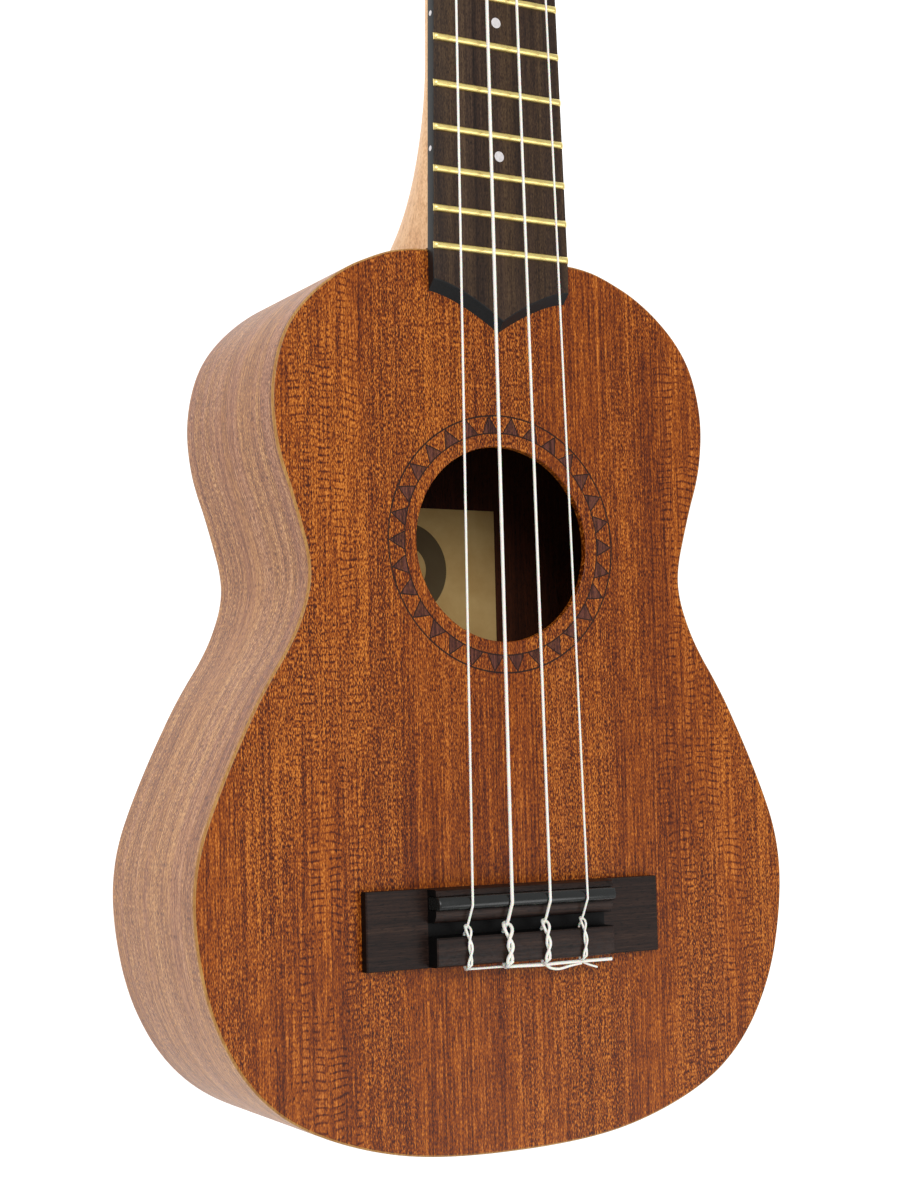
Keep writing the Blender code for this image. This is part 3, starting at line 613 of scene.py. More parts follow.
MAHOGANY = ((60, 18, 2), (98, 37, 3), (132, 61, 5), (168, 86, 13), (208, 126, 46))
TOP_WOOD = wood("ribbon_mahogany", MAHOGANY, bands=0.6, lines=1.1, dashes=3.2, ladder=0.5,
                figured=((-54, 15), (66, 20)), veil=0.6, figure=rosette)
BACK_WOOD = wood("back_mahogany", MAHOGANY, ladder=0.3, figured=((-30, 24), (52, 18)),
                 dashes=4.0, veil=0.9, offset=40)
EDGE_WOOD = wood(
    "edge_laminate",
    ((116, 74, 36), (146, 98, 50), (170, 122, 64), (190, 144, 82), (210, 168, 104)),
    ribbon=30, dashes=0.6, pores=0.1, roughness=0.34)
# The top's mahogany drawn far paler on the sides: painted light and sheen of sides seen at a
# glancing angle.
SIDE_WOOD_PAINTED_LIGHT = wood(
    "side_mahogany_painted_light",
    ((96, 54, 32), (132, 82, 50), (166, 112, 70), (196, 142, 90), (222, 176, 122)),
    order="YXZ", uv=True, ribbon=6.0, bands=0.8, lines=0.9, dashes=2.2, pores=0.5, veil=0.8)
# Bare wood inside the box, darkened to paint the shade of the closed interior.
INSIDE_WOOD_PAINTED_SHADE = wood(
    "bare_inside_painted_shade", ((28, 10, 4), (46, 20, 9), (64, 29, 13), (80, 39, 19), (98, 52, 28)),
    dashes=0.8, roughness=0.75, offset=60)
NECK_WOOD = wood(
    "neck_wood",
    ((178, 124, 78), (208, 156, 106), (228, 180, 130), (238, 196, 148), (246, 214, 172)),
    ribbon=16, dashes=1.2, pores=0.25, offset=80)
BOARD_WOOD = wood(
    "fretboard_wood", ((26, 15, 9), (42, 28, 19), (58, 41, 27), (76, 57, 38), (98, 76, 52)),
    ribbon=5.0, bands=1.5, lines=0.6, dashes=1.0, veil=0.5, roughness=0.5, offset=100)
BRIDGE_WOOD = wood(
    "bridge_wood", ((12, 5, 2), (24, 12, 8), (36, 21, 15), (48, 31, 23), (66, 47, 36)),
    order="YXZ", ribbon=2.6, bands=0.7, lines=0.9, dashes=0.7, pores=0.35, roughness=0.46,
    offset=120)
BOARD_EDGE = plain("board_edge", srgb(20, 22, 23), 0.4, mottle=0.35, size=0.5, bump=0.5,
                   Specular_IOR_Level=0.3)
# Near-black: a real black stain on the bridge's end faces, and painted shade in the bridge's
# channel and in the screw heads' cross recesses.
STAIN_AND_SHADE_BLACK = plain("black_stain_and_painted_shade", srgb(9, 8, 8), 0.5, mottle=0.3, size=0.35, bump=0.3,
                   Specular_IOR_Level=0.15)
SADDLE_BLACK = plain("saddle_black", srgb(20, 22, 21), 0.24, mottle=0.1)
FRET_BRASS = plain("fret_brass", srgb(250, 228, 148), 0.34, mottle=0.03, size=1.4, bump=0.0,
                   Metallic=1.0)
PEARL = plain("pearl_dot", srgb(214, 209, 210), 0.22, mottle=0.1, size=0.8)
BONE = plain("nut_bone", srgb(226, 218, 196), 0.35)
NYLON = plain("string_nylon", srgb(246, 243, 234), 0.32, mottle=0.02, Subsurface_Weight=0.25,
              Subsurface_Scale=0.0006)
CHROME = plain("tuner_chrome", srgb(214, 214, 216), 0.18, Metallic=1.0)
GEAR_BRASS = plain("gear_brass", srgb(206, 168, 98), 0.3, Metallic=1.0)
PEARLOID = plain("button_pearloid", srgb(232, 226, 206), 0.18, mottle=0.14, size=2.2,
                 Coat_Weight=0.5)


# What is printed on the label, in millimetres from its middle
LABEL_RING = (9.0, 10.5, 3.5)  # height, radius, half width
LABEL_LINES = (-9.0, -13.5, -18.0)
LABEL_LINE_HALF = 0.3
LABEL_LINE_REACH = 20.0


def label_material():
    """Cream paper with a plain ring and ruled lines."""
    made = Material("label_paper", srgb(214, 194, 146), 0.85)
    low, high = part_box("label")
    centre = (low + high) / 2 / MM
    space = made.space()
    x, y, _ = made.node("SeparateXYZ", Vector=space).outputs
    x = made.away(x, centre.x)
    y = made.minus(y, centre.y)
    ring_y, ring_radius, ring_half = LABEL_RING
    ink = made.within(made.radius(x, made.minus(y, ring_y)), ring_radius, ring_half)
    for place in LABEL_LINES:
        line = made.times(made.within(y, place, LABEL_LINE_HALF),
                          made.math("LESS_THAN", x, LABEL_LINE_REACH))
        ink = made.math("MAXIMUM", ink, line)
    cloud = made.noise(space, (9, 9, 9), 4, 0.6)
    paper = made.between(cloud, CLOUD_LEVELS, srgb(204, 162, 98), srgb(220, 184, 120))
    made.colour(made.mix(made.times(ink, 0.85), paper, srgb(40, 33, 24)))
    made.bump(made.noise(space, (0.25, 0.25, 0.25), 3, 0.6, 0.0, 9), 0.2, 0.03)
    return made.made


LABEL_PAPER = label_material()


# ---- sound box

PLATE_EDGE = 0.8 * MM  # radii of the plates' rim and of the soundhole's edge
HOLE_EDGE_RADIUS = 0.45 * MM
EDGE_MARGIN = 0.4 * MM  # narrow flat strip that keeps the shading of a face level
SIDE_SEAM = 0.04 * MM  # half the gap between the two sides at neck and tail


def make_plate(name, node, outside, inside, material, hole=None):
    """Thin plate with a rounded outer rim; outside and inside are its two face heights."""
    skin = Skin()
    out = 1 if outside > inside else -1
    rim = [skin.loop(level(OUTLINE, inside))]
    for across, down in rounding(PLATE_EDGE, 6):
        rim.append(skin.loop(level(inset(across), outside - out * down)))
    rim.append(skin.loop(level(inset(PLATE_EDGE + EDGE_MARGIN), outside)))
    # The plate's outer edge takes the sides' paler wood, with its painted light.
    skin.bridge(rim[0], rim[1], material=3)
    skin.wrap(material=3)
    for i in range(1, 7):
        skin.bridge(rim[i], rim[i + 1], material=1 if i < 5 else 0)
    edge = []
    if hole:
        edge = [skin.loop(ring(HOLE, hole + HOLE_EDGE_RADIUS + EDGE_MARGIN, outside))]
        for across, down in rounding(HOLE_EDGE_RADIUS, 5)[::-1]:
            edge.append(skin.loop(ring(HOLE, hole + across, outside - down)))
        edge.append(skin.loop(ring(HOLE, hole, inside)))
        for first, second in zip(edge, edge[1:]):
            skin.bridge(first, second)
    skin.cap(rim[-1], edge[:1])
    # The inner face takes the inside wood, darkened as painted shade.
    skin.cap(rim[0], edge[-1:], material=2)
    skin.done(name, (material, EDGE_WOOD, INSIDE_WOOD_PAINTED_SHADE, SIDE_WOOD_PAINTED_LIGHT),
              replaces=(node,))


def make_side(name, node, sign):
    """Bent side, with a position map that runs along the bend."""
    half = len(OUTLINE) // 2
    places = range(half + 1) if sign > 0 else range(-half, 1)
    inner = inset(BACK_INSIDE - BACK_OUTSIDE)
    skin = Skin()
    rows = []
    run = 0.0
    for order, place in enumerate(places):
        out = OUTLINE[place % len(OUTLINE)]
        ins = inner[place % len(OUTLINE)]
        shift = sign * SIDE_SEAM if order in (0, half) else 0.0
        corners = [(x + shift, y, z) for x, y, z in (
            (*out, BACK_INSIDE), (*out, TOP_UNDER), (*ins, TOP_UNDER), (*ins, BACK_INSIDE))]
        if rows:
            run += (Vector(corners[0]) - rows[-1][0][0].co).length
        rows.append((skin.loop(corners), run))
    for (first, start), (second, end) in zip(rows, rows[1:]):
        for i in range(4):
            j = (i + 1) % 4
            face = skin.shape.faces.new((first[i], first[j], second[j], second[i]))
            # The outer faces take the sides' paler wood with its painted light; the inner face
            # takes the darkened inside wood with its painted shade.
            face.material_index = 1 if i == 2 else 0
            for corner in face.loops:
                along = start if corner.vert in first else end
                corner[skin.uv].uv = (along, corner.vert.co.z)
    skin.cap(rows[0][0])
    skin.cap(rows[-1][0])
    skin.done(name, (SIDE_WOOD_PAINTED_LIGHT, INSIDE_WOOD_PAINTED_SHADE), replaces=(node,))


def block(low, high, matrix=Matrix()):
    """Rings of a block between two opposite corners."""
    plan = ((low[0], low[1]), (high[0], low[1]), (high[0], high[1]), (low[0], high[1]))
    return [[matrix @ Vector((x, y, z)) for x, y in plan] for z in (low[2], high[2])]


def make_label():
    loft("paper_label", block(*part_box("label")), LABEL_PAPER,
         replaces=("label",))


def make_sound_box():
    make_plate("top_plate", "soundboard", TOP, TOP_UNDER, TOP_WOOD, HOLE_RADIUS)
    make_plate("back_plate", "back", BACK_OUTSIDE, BACK_INSIDE, BACK_WOOD)
    make_side("treble_side", "side_treble", 1)
    make_side("bass_side", "side_bass", -1)
    make_label()
    # The braces, blocks and linings take the darkened inside wood, with its painted shade.
    for node in ("head_block", "tail_block", "bridge_plate", "top_brace_upper",
                 "top_brace_lower", "back_brace_upper", "back_brace_lower", "lining_top_bass",
                 "lining_top_treble", "lining_back_bass", "lining_back_treble"):
        NODES[node].data.materials.clear()
        NODES[node].data.materials.append(INSIDE_WOOD_PAINTED_SHADE)


# ---- neck

def board_half(below_nut):
    """Half width of the fretboard at a distance below the nut, in millimetres."""
    return BOARD_HALF_NUT + (BOARD_HALF_BODY - BOARD_HALF_NUT) * below_nut / JOINT


def heel_rise(below_nut):
    """0 where the heel starts, 1 at the body."""
    return max(0.0, (below_nut - HEEL_START) / (JOINT - HEEL_START))


def neck_ring(below_nut, half, depth, top, arc=40):
    """Flat-topped section with a super-elliptical underside."""
    extra, late = HEEL_FLARE
    power = 2 / (NECK_ROUNDNESS + extra * heel_rise(below_nut) ** late)
    points = []
    for angle in np.linspace(0, pi, arc + 1):
        x = half * np.sign(cos(angle)) * abs(cos(angle)) ** power
        z = -depth * sin(angle) ** power
        points.append((x * MM, NUT_Y - below_nut * MM, top + z * MM))
    return points


def neck_depth(below_nut):
    return NECK_DEPTH + (HEEL_DEPTH - NECK_DEPTH) * heel_rise(below_nut) ** HEEL_POWER


NECK_END = (12.0, 0.6, 9.0, 3.2)  # inside the headstock: past the nut, narrower, depth, lower


def make_neck():
    places = [*np.linspace(JOINT, HEEL_START, 28), *np.linspace(100, 0, 6), -NUT_THICKNESS]
    rings = [neck_ring(d, board_half(d), neck_depth(d), TOP) for d in places]
    past, narrower, depth, lower = NECK_END
    rings.append(neck_ring(-NUT_THICKNESS - past, BOARD_HALF_NUT - narrower, depth,
                           TOP - lower * MM))
    loft("neck_shaft", rings, NECK_WOOD, replaces=("neck",), angle=50)


def head_outline(steps=8):
    """Outline of the headstock in its own plane, smooth but for the corners of the crown."""
    right = np.vstack((open_curve(HEAD_SIDE, steps)[:-1], open_curve(HEAD_CROWN, steps)))
    return np.vstack((right, right[::-1][1:] * (-1, 1)))


def head_slab(name, low, high, radius, material):
    """Slab of the headstock between two heights, with rounded long edges."""
    outline = head_outline()
    inward = left_of(outline)
    matrix = head_matrix(0, 0, 0)
    edge = rounding(radius, 4)
    sections = [(down, low + across) for across, down in edge]
    sections += [(down, high - across) for across, down in edge[::-1]]
    rings = []
    for distance, height in sections:
        scoop = HEAD_SCOOP * (height / HEAD_THICKNESS) ** 2
        rings.append([matrix @ mm(
            x * (1 - scoop * max(0, 1 - y / HEAD_SCOOP_END) ** 1.5), y, height)
            for x, y in outline + inward * distance])
    loft(name, rings, material, angle=30)


VENEER = 1.0  # thickness of the headstock's face


def make_headstock():
    head_slab("headstock", -HEAD_THICKNESS, -VENEER, 0.8, NECK_WOOD)
    head_slab("head_veneer", -VENEER, 0.0, 0.25, BACK_WOOD)


def board_outline(narrower, back):
    """One ring of the board, by how much its sides and its end are drawn in."""
    shoulder_y = BOARD_TIP_Y + BOARD_END_SCOOP * MM
    half_end = (BOARD_HALF_BODY - narrower) * MM
    end = [(half_end * t, shoulder_y + back * MM - BOARD_END_SCOOP * MM * (1 - t) ** 1.5)
           for t in np.linspace(1, 0, 25)]
    right = [((BOARD_HALF_NUT - narrower) * MM, NUT_Y), (half_end, BODY_NECK_Y)] + end
    return right + [(-x, y) for x, y in right[:-1]][::-1]


def make_fretboard():
    """Board with crisp long edges and a bevelled, bracket-shaped end."""
    bottom = TOP + 0.02 * MM
    skin = Skin()
    rings = [skin.loop(level(board_outline(narrower, back), height)) for narrower, back, height in (
        (0.0, 0.0, bottom), (0.0, 0.25, bottom + 0.25 * MM), (0.0, 2.5, BOARD_TOP - 0.22 * MM),
        (0.06, 2.66, BOARD_TOP - 0.06 * MM), (0.22, 2.9, BOARD_TOP))]
    for first, second in zip(rings, rings[1:]):
        skin.bridge(first, second, material=1)
    skin.cap(rings[0], material=1)
    skin.cap(rings[-1])
    skin.done("fret_board", (BOARD_WOOD, BOARD_EDGE),
              replaces=("fretboard",), angle=25)


FRET_ENDS = ((0.0, 0.45), (0.5, 0.9), (1.0, 1.0))  # from the end, part of the full height


def make_fret(number):
    """Fret wire with a round crown that falls off at its ends."""
    node = f"fret_{number:02d}"
    low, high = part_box(node)
    middle = (low.y + high.y) / 2
    half_width = (high.y - low.y) / 2
    root = BOARD_TOP - 0.2 * MM
    rings = []
    for x, scale in mirrored(high.x / MM, FRET_ENDS):
        height = (high.z - BOARD_TOP) * scale
        section = [(middle + half_width * cos(a), BOARD_TOP + height * sin(a))
                   for a in np.linspace(0, pi, 13)]
        section += [(middle - half_width, root), (middle + half_width, root)]
        rings.append([(x * MM, y, z) for y, z in section])
    loft(f"fret_wire_{number:02d}", rings, FRET_BRASS, replaces=(node,))


DOTS = (5, 7, 10)
SIDE_DOT = ((0.2, 0.03), (0.72, 0.02), (0.78, -0.03), (0.78, -0.4))


def make_dots():
    """Pearl dots in the board, and on its bass edge at all but the first of them."""
    for number in DOTS:
        node = f"dot_{number:02d}"
        low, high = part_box(node)
        centre = (low + high) / 2
        radius = (high.x - low.x) / 2 / MM
        place = Matrix.Translation((centre.x, centre.y, BOARD_TOP))
        turned(f"pearl_{number:02d}", ((0.3, 0.06), (radius * 0.7, 0.05), (radius - 0.05, 0.03),
                                       (radius, -0.02), (radius, -0.4)), place, PEARL, BODY,
               (node,))
        if number == DOTS[0]:
            continue
        edge = -board_half((NUT_Y - centre.y) / MM) * MM
        side = Matrix.Translation((edge, centre.y, (TOP + BOARD_TOP) / 2))
        turned(f"side_dot_{number:02d}", SIDE_DOT, side @ Matrix.Rotation(-pi / 2, 4, "Y"), PEARL,
               BODY, steps=24)


# ---- bridge and strings

def drill(obj, places, radius, length):
    """Round holes along Y through a piece, centred on world places."""
    shape = bmesh.new()
    for place in places:
        turn = Matrix.Translation(place) @ Matrix.Rotation(pi / 2, 4, "X")
        bmesh.ops.create_cone(shape, cap_ends=True, segments=24, radius1=radius, radius2=radius,
                              depth=length, matrix=turn)
    bit = from_bmesh("drill", shape)
    link(bit)
    cutter = obj.modifiers.new("holes", "BOOLEAN")
    cutter.object = bit
    bpy.context.view_layer.update()
    drilled = bpy.data.meshes.new_from_object(obj.evaluated_get(
        bpy.context.evaluated_depsgraph_get()))
    obj.modifiers.clear()
    obj.data = drilled
    bpy.data.objects.remove(bit, do_unlink=True)


def mark_edges(skin):
    """Gives the bridge's ends their black stain, and the walls and floor of its channel near-black
    painted shade.
    """
    for face in skin.shape.faces:
        face.normal_update()
        middle = face.calc_center_median()
        below_nut = (NUT_Y - middle.y) / MM
        in_channel = CHANNEL[0] < below_nut < CHANNEL[1] and abs(middle.x) < BLOCK_HALF * MM
        face.material_index = int(abs(face.normal.x) > 0.8 or in_channel)


def make_bridge():
    """Base with low wings and a raised block: saddle ridge, open channel and tie block."""
    skin = Skin()
    wing_half = BRIDGE_HIGH.x / MM
    chamfer = 0.35
    sections = [(wing_half, WING_HEIGHT - chamfer), (wing_half - chamfer, WING_HEIGHT),
                (BLOCK_HALF, WING_HEIGHT), (BLOCK_HALF, BLOCK_TOP - chamfer),
                (BLOCK_HALF - chamfer, BLOCK_TOP + 1)]
    sections += [(-x, highest) for x, highest in sections[::-1]]
    loops = [skin.loop([(x * MM, NUT_Y - below * MM, TOP + min(height, highest) * MM)
                        for below, height in BRIDGE_PROFILE]) for x, highest in sections]
    skin.stack(loops)
    mark_edges(skin)
    bmesh.ops.remove_doubles(skin.shape, verts=skin.shape.verts, dist=0.001 * MM)
    bmesh.ops.dissolve_degenerate(skin.shape, edges=skin.shape.edges, dist=0.001 * MM)
    bridge = skin.done("bridge_body", (BRIDGE_WOOD, STAIN_AND_SHADE_BLACK),
                       replaces=("bridge",), angle=32)
    middle = NUT_Y - (TIE_FRONT + BRIDGE_BACK) / 2 * MM
    holes = [Vector((x * MM, middle, TOP + TIE_HOLE_HEIGHT * MM)) for _, _, x in STRINGS.values()]
    drill(bridge, holes, TIE_HOLE_RADIUS * MM, TIE_HOLE_LENGTH * MM)


SADDLE_ENDS = ((0.0, 0.90), (0.2, 0.97), (0.7, 1.0))  # from the end, part of the full section


def make_saddle():
    """Bar with a sloping crest, worn a little lower at its two ends."""
    foot = SADDLE_PROFILE[0][1]
    middle = (SADDLE_PROFILE[0][0] + SADDLE_PROFILE[-1][0]) / 2
    rings = [[(x * MM, NUT_Y - (middle + (below - middle) * scale) * MM,
               TOP + (foot + (height - foot) * scale) * MM) for below, height in SADDLE_PROFILE]
             for x, scale in mirrored(SADDLE_HIGH.x / MM, SADDLE_ENDS)]
    loft("saddle_bar", rings, SADDLE_BLACK, replaces=("saddle",))


# Strings, in millimetres
KNOT_HEAD = 354.5  # front of each loop, below the nut
KNOT_SHIFT = -0.5  # loops sit a little to the bass side of their strings
LOOP_HEIGHT = 6.9  # where the string passes through its loop
BEND_RADIUS = 1.75  # of the line over the saddle
BEND_START = -0.62  # angle at which that bend begins
BEND_RUN = 5.6  # from the loop to the saddle
TWIST_HALF_TURNS = 1.75
TWIST_DRIFT = 0.4
WINDING_TURNS = 3.0


def side_of(name):
    """-1 for the strings and tuners of the bass side, 1 for the treble side."""
    return -1 if name in BASS else 1


def string_path(name):
    """Line of one string from its hole, through its loop, over saddle and nut to its post."""
    diameter, nut_x, saddle_x = STRINGS[name]
    radius = diameter / 2
    x = saddle_x + KNOT_SHIFT
    nut = NUT_Y / MM
    tie = nut - TIE_FRONT
    low = open_curve([(x, BRIDGE_LOW.y / MM - 0.3, TIE_HOLE_HEIGHT),
                      (x, tie - 0.2, TIE_HOLE_HEIGHT),
                      (x, tie + 0.9, TIE_HOLE_HEIGHT + 0.5),
                      (x, nut - KNOT_HEAD - 0.25, LOOP_HEIGHT + diameter),
                      (x + 0.1, nut - KNOT_HEAD + 1.0, LOOP_HEIGHT + 0.7 + diameter)], 4)
    points = [Vector(point) * MM + Vector((0, 0, TOP)) for point in low]
    lean = (saddle_x - x) / BEND_RUN
    for angle in np.linspace(BEND_START, 0.0, 6):
        along = BEND_RADIUS * sin(angle)
        down = BEND_RADIUS * (1 - cos(angle))
        points.append(Vector(((saddle_x + lean * along) * MM, NUT_Y + (along - SADDLE_AT) * MM,
                              TOP + (SADDLE_TOP + radius - down) * MM)))
    for past in (0.0, NUT_THICKNESS):
        points.append(Vector((nut_x * MM, NUT_Y + past * MM, TOP + STRING_HEIGHT_NUT * MM)))
    beside = side_of(name) * (POST_X - POST_RADIUS - 0.3 - radius)
    points.append(head_matrix(beside, POST_ROWS[name], STRING_AT_POST).translation)
    return points


def twist_strand(sign, start, end, apart):
    """One of the two strands that wind round each other over the tie block."""
    points = []
    for u in np.linspace(0, 1, 25):
        angle = pi / 2 + TWIST_HALF_TURNS * pi * (1 - u)
        sideways = TWIST_DRIFT * sin(pi * u) + sign * apart * 1.15 * cos(angle)
        points.append(start + (end - start) * u + (sideways, 0.0, sign * apart * sin(angle)))
    return points


def eye_strand(sign, start, end, apart, half_width):
    """One side of the eye that closes round the string, widest near its front."""
    points = []
    for turn in np.linspace(0.25, pi - 0.12, 14):
        along = (1 - cos(turn)) / 2
        wide = half_width / 0.77 * sin(turn) * sin(turn / 2)
        step = (end - start) * (0.0, along, along ** 3)
        points.append(start + step + (sign * wide, 0.0, sign * apart * (1 - along) ** 3))
    return points


def knot_path(name):
    """Way up behind the tie block, twisted pair over it and the eye round the string."""
    diameter, _, saddle_x = STRINGS[name]
    apart = 0.55 * diameter
    x = saddle_x + KNOT_SHIFT
    head = NUT_Y / MM - KNOT_HEAD
    back = BRIDGE_LOW.y / MM + 0.7
    top = TOP / MM
    middle = top + BLOCK_TOP + diameter / 2 + apart
    rear = np.array((x, back, middle))
    pinch = np.array((x, head - 1.7 - 2.0 * diameter, middle))
    front = np.array((x, head, top + LOOP_HEIGHT))
    strands = [twist_strand(sign, rear, pinch, apart)
               + eye_strand(sign, pinch, front, apart, 1.45 * diameter - 0.25)
               for sign in (-1, 1)]
    rise = [(x, back - 0.6, top + TIE_HOLE_HEIGHT),
            (x, back - 1.0 - 0.55 * diameter, top + TIE_HOLE_HEIGHT + 0.5),
            (x - 0.1, back - 0.75 - 0.3 * diameter, middle - 0.75)]
    nose = [front + (0.0, 0.03, 0.0)]
    fall = [(x - 0.25, back - 0.8 - 0.35 * diameter, middle - 0.9)]
    return rise + strands[0] + nose + strands[1][::-1] + fall


TAILS = {  # points from each knot to the tail's end: x, y past the bridge's back, height
    "g": ((-17.6, -0.6, 5.9), (-14.0, -0.75, 5.2), (-6.4, -0.8, 5.0), (2.0, -0.85, 4.9),
          (6.5, -0.9, 4.8)),
    "c": ((-5.4, -0.8, 6.2), (-1.5, -0.9, 5.8), (5.5, -1.1, 5.8), (12.0, -1.0, 5.7),
          (17.5, -1.0, 5.9), (22.0, -1.0, 6.0), (27.5, -1.0, 6.0)),
    "e": ((6.4, -1.1, 6.0), (8.5, -2.2, 5.0), (11.5, -2.7, 4.6), (15.0, -2.0, 5.0),
          (18.0, -1.5, 5.6)),
    "a": ((17.6, -0.7, 5.9), (19.0, -1.5, 5.4), (21.2, -2.3, 5.0), (23.5, -3.0, 4.8)),
}


def winding_path(name, diameter):
    """Turns of the string round its post, each below the one before."""
    side = side_of(name)
    post = head_matrix(side * POST_X, POST_ROWS[name], STRING_AT_POST)
    around = POST_RADIUS + diameter / 2
    start = pi if side > 0 else 0.0
    points = []
    for turn in np.linspace(0.0, WINDING_TURNS, 97):
        angle = start + side * 2 * pi * turn
        points.append(post @ mm(around * cos(angle), around * sin(angle),
                                -turn * (diameter + 0.04)))
    return points


def make_strings():
    for name, (diameter, _, _) in STRINGS.items():
        tube("line_" + name, string_path(name), diameter, NYLON,
             replaces=("string_" + name,))
        back = BRIDGE_LOW.y / MM
        tail = [(x, back + y, TOP / MM + z) for x, y, z in TAILS[name]]
        tube("knot_" + name, open_curve(knot_path(name) + tail, 3) * MM, diameter, NYLON)
        tube("winding_" + name, winding_path(name, diameter), diameter, NYLON,
             "post_turn_" + name)


# ---- tuners

# Tuners in millimetres; profiles are (radius, height) from the top down
BUTTON_HALVES = (2.5, 7.2, 6.2)  # half depth, length and width
BUTTON_AT = 23.0  # along the shaft
SHAFT = ((0.9, 21.5), (1.2, 21.2), (1.2, 4.2), (1.2, -6.4), (0.9, -6.5))
COLLAR = ((1.5, 16.7), (2.3, 16.4), (2.3, 15.0), (1.7, 14.6), (1.7, 7.2), (1.5, 7.0))
POST = ((1.9, 11.0), (2.5, 10.7), (2.8, 10.0), (2.8, 8.2), (2.55, 7.2), (2.45, 6.0), (2.5, 4.0),
        (2.7, 2.2), (2.8, 1.4), (2.8, -13.2), (2.0, -13.2), (2.0, -17.2))
BUSHING = ((3.15, 1.5), (3.7, 1.5), (4.3, 1.3), (5.0, 0.7), (5.2, 0.3), (5.2, 0.02), (3.15, 0.02))
WORM_RADIUS = 1.62
WORM_RIDGE = 0.34
WORM_PITCH = 2.2
WORM_LENGTH = 8.2
SCREW_RADIUS = 1.5
GEAR_SCREW_RADIUS = 2.3
GEAR_SCREW_HEIGHT = -17.0
PLATE_THICKNESS = 1.3
PLATE_SCREWS = (-11.7, 8.4)  # up the headstock from the post


def oval_button(name, matrix):
    """Rounded oval knob: a super-ellipsoid."""
    half_depth, half_length, half_width = BUTTON_HALVES
    steepest = pi / 2 - 0.06
    rings = []
    for tilt in np.linspace(-steepest, steepest, 17):
        height = np.sign(sin(tilt)) * abs(sin(tilt)) ** 0.6 * half_depth
        scale = cos(tilt) ** 0.5
        rings.append([matrix @ mm(height, half_length * scale * sin(a),
                                  half_width * scale * cos(a)) for a in full_turn(40)])
    loft("knob_" + name, rings, PEARLOID, "button_turn_" + name,
         ("button_" + name,), 60)


def worm(name, matrix, hand):
    """Shaft's threaded middle: a ridge that winds round the core."""
    rings = []
    for place in np.linspace(-WORM_LENGTH / 2, WORM_LENGTH / 2, 61):
        points = []
        for a in full_turn(28):
            wave = 1.6 * cos(2 * pi * place / WORM_PITCH + hand * a)
            radius = WORM_RADIUS + WORM_RIDGE * max(-0.6, min(0.9, wave))
            points.append(matrix @ mm(radius * cos(a), radius * sin(a), place))
        rings.append(points)
    loft("worm_thread_" + name, rings, CHROME, "button_turn_" + name, angle=45)


def screw_head(name, x, y, z, body, radius=SCREW_RADIUS):
    """Domed screw head under the headstock at a point of its frame; its cross recess is drawn as
    two near-black bars of painted shade.
    """
    matrix = head_matrix(x, y, z) @ Matrix.Rotation(pi, 4, "X")
    turned(name, ((0.25, 0.78), (radius * 0.5, 0.70), (radius * 0.82, 0.46), (radius, 0.12),
                  (radius, -0.1)), matrix, CHROME, body, steps=28)
    low, high = mm(-radius * 0.62, -0.16, 0.6), mm(radius * 0.62, 0.16, 0.81)
    for letter, turn in (("a", 0.0), ("b", pi / 2)):
        loft(f"{name}_slot_{letter}",
             block(low, high, matrix @ Matrix.Rotation(turn + 0.4, 4, "Z")), STAIN_AND_SHADE_BLACK, body,
             angle=20)


def make_tuner(name):
    side, row = side_of(name), POST_ROWS[name]
    turning, winding = "button_turn_" + name, "post_turn_" + name
    joint = next(j for j in frame["joints"] if j["name"] == f"button_{name}_turn")
    shaft = (Matrix.Translation(Vector(joint["pos_m"])) @ Matrix.Rotation(-HEAD_TILT, 4, "X")
             @ Matrix.Rotation(side * pi / 2, 4, "Y"))
    post = head_matrix(side * POST_X, row, 0)

    def metal(kind, profile, place, body, replaces=(), steps=40):
        turned(kind + name, profile, place, CHROME, body, replaces, steps)

    refined("tuner_plate_" + name, "plate_" + name, CHROME, 0.25)
    metal("shaft_", SHAFT, shaft, turning, ("worm_shaft_" + name,), 28)
    metal("collar_", COLLAR, shaft, turning, steps=32)
    worm(name, shaft, side)
    oval_button(name, shaft @ Matrix.Translation((0, 0, BUTTON_AT * MM)))
    refined("gear_" + name, "cog_" + name, GEAR_BRASS, 0.18, 1, 30.0, winding)
    metal("string_post_", POST, post, winding, ("post_" + name,))
    metal("bushing_", BUSHING, post, BODY)
    screw_head("gear_screw_" + name, side * POST_X, row, GEAR_SCREW_HEIGHT, winding,
               GEAR_SCREW_RADIUS)
    for order, along in enumerate(PLATE_SCREWS):
        screw_head(f"plate_screw_{name}_{order}", side * POST_X, row + along,
                   -HEAD_THICKNESS - PLATE_THICKNESS, BODY)


# ---- stage

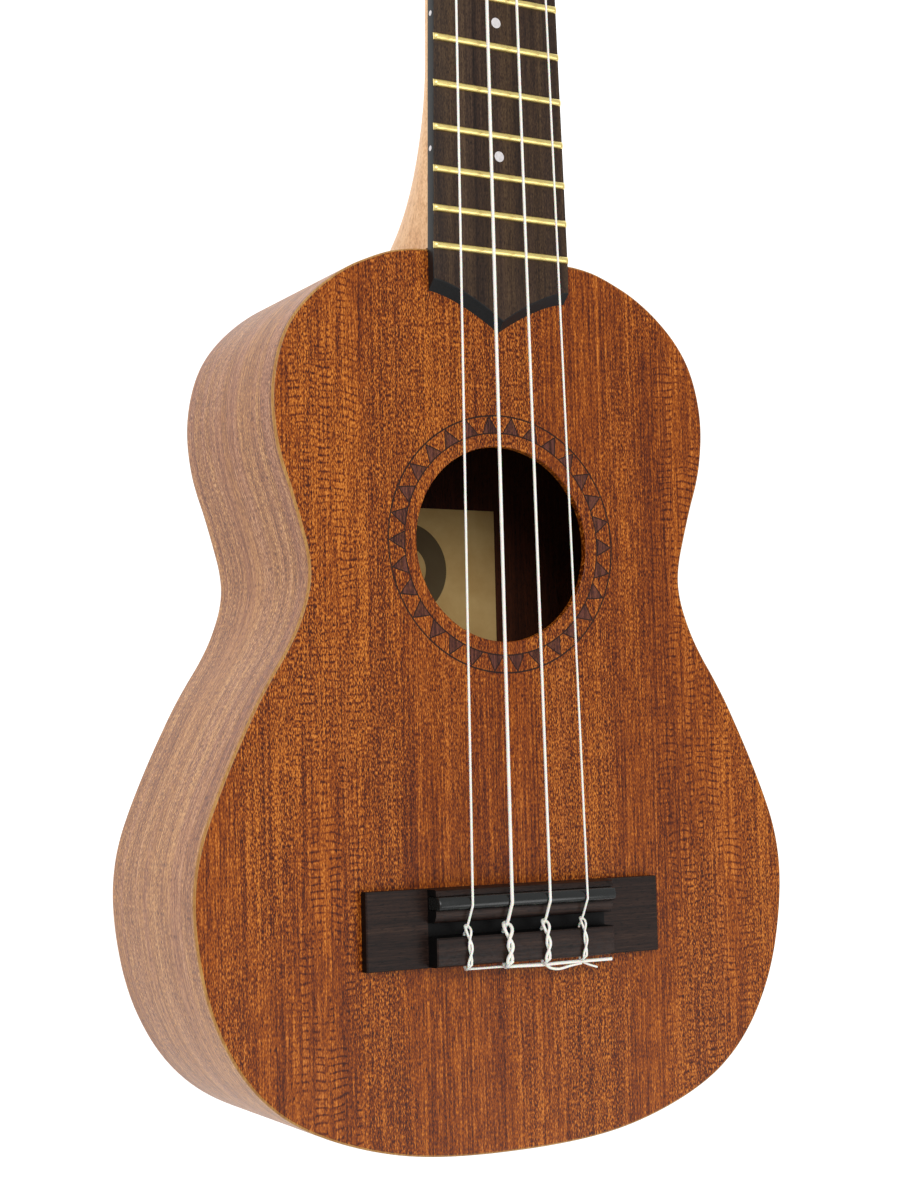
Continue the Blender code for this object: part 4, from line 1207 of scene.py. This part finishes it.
def make_floor():
    shape = bmesh.new()
    bmesh.ops.create_circle(shape, cap_ends=True, segments=64, radius=4.0)
    bmesh.ops.translate(shape, verts=shape.verts, vec=(0, 0, CAD_BOX[0].z - 0.2 * MM))
    floor = from_bmesh("floor", shape)
    link(floor)
    floor.data.materials.append(plain("floor_white", (0.3, 0.3, 0.3, 1.0), 0.9, 0.0,
                                      Emission_Color=WHITE, Emission_Strength=FLOOR_GLOW))


def make_world():
    world = bpy.data.worlds.new("studio")
    SCENE.world = world
    world.use_nodes = True
    sky = world.node_tree.nodes["Background"]
    sky.inputs["Color"].default_value = WHITE
    sky.inputs["Strength"].default_value = SKY_STRENGTH


def soft_light(name, place, size, power):
    """Round lamp that faces the instrument."""
    lamp = bpy.data.lights.new(name, "AREA")
    lamp.shape = "DISK"
    lamp.size = size
    lamp.energy = power
    made = bpy.data.objects.new(name, lamp)
    made.location = place
    aim = Vector(LIT_POINT) - Vector(place)
    made.rotation_euler = aim.to_track_quat("-Z", "Y").to_euler()
    link(made)


def make_camera():
    camera = bpy.data.cameras.new("camera")
    camera.lens = CAMERA_LENS
    camera.sensor_width = 36.0
    camera.sensor_fit = "AUTO"
    camera.clip_start = 0.01
    camera.clip_end = 20.0
    view = bpy.data.objects.new("camera", camera)
    forward = CAMERA_FORWARD.normalized()
    right = forward.cross(CAMERA_UP).normalized()
    turn = Matrix((right, right.cross(forward), -forward)).transposed().to_4x4()
    view.matrix_world = Matrix.Translation(CAMERA_EYE) @ turn
    link(view)
    SCENE.camera = view
    SCENE.view_settings.view_transform = "Standard"


make_sound_box()
make_neck()
make_headstock()
make_fretboard()
for fret_number in range(1, 13):
    make_fret(fret_number)
make_dots()
refined("nut", "nut_block", BONE, 0.4, 3)
make_bridge()
make_saddle()
make_strings()
for tuner_name in "gcea":
    make_tuner(tuner_name)
make_floor()
make_world()
soft_light("key", (-0.5, 0.5, 1.7), 1.0, 14.0)
soft_light("fill", (0.9, -1.0, 1.5), 1.2, 8.0)
make_camera()
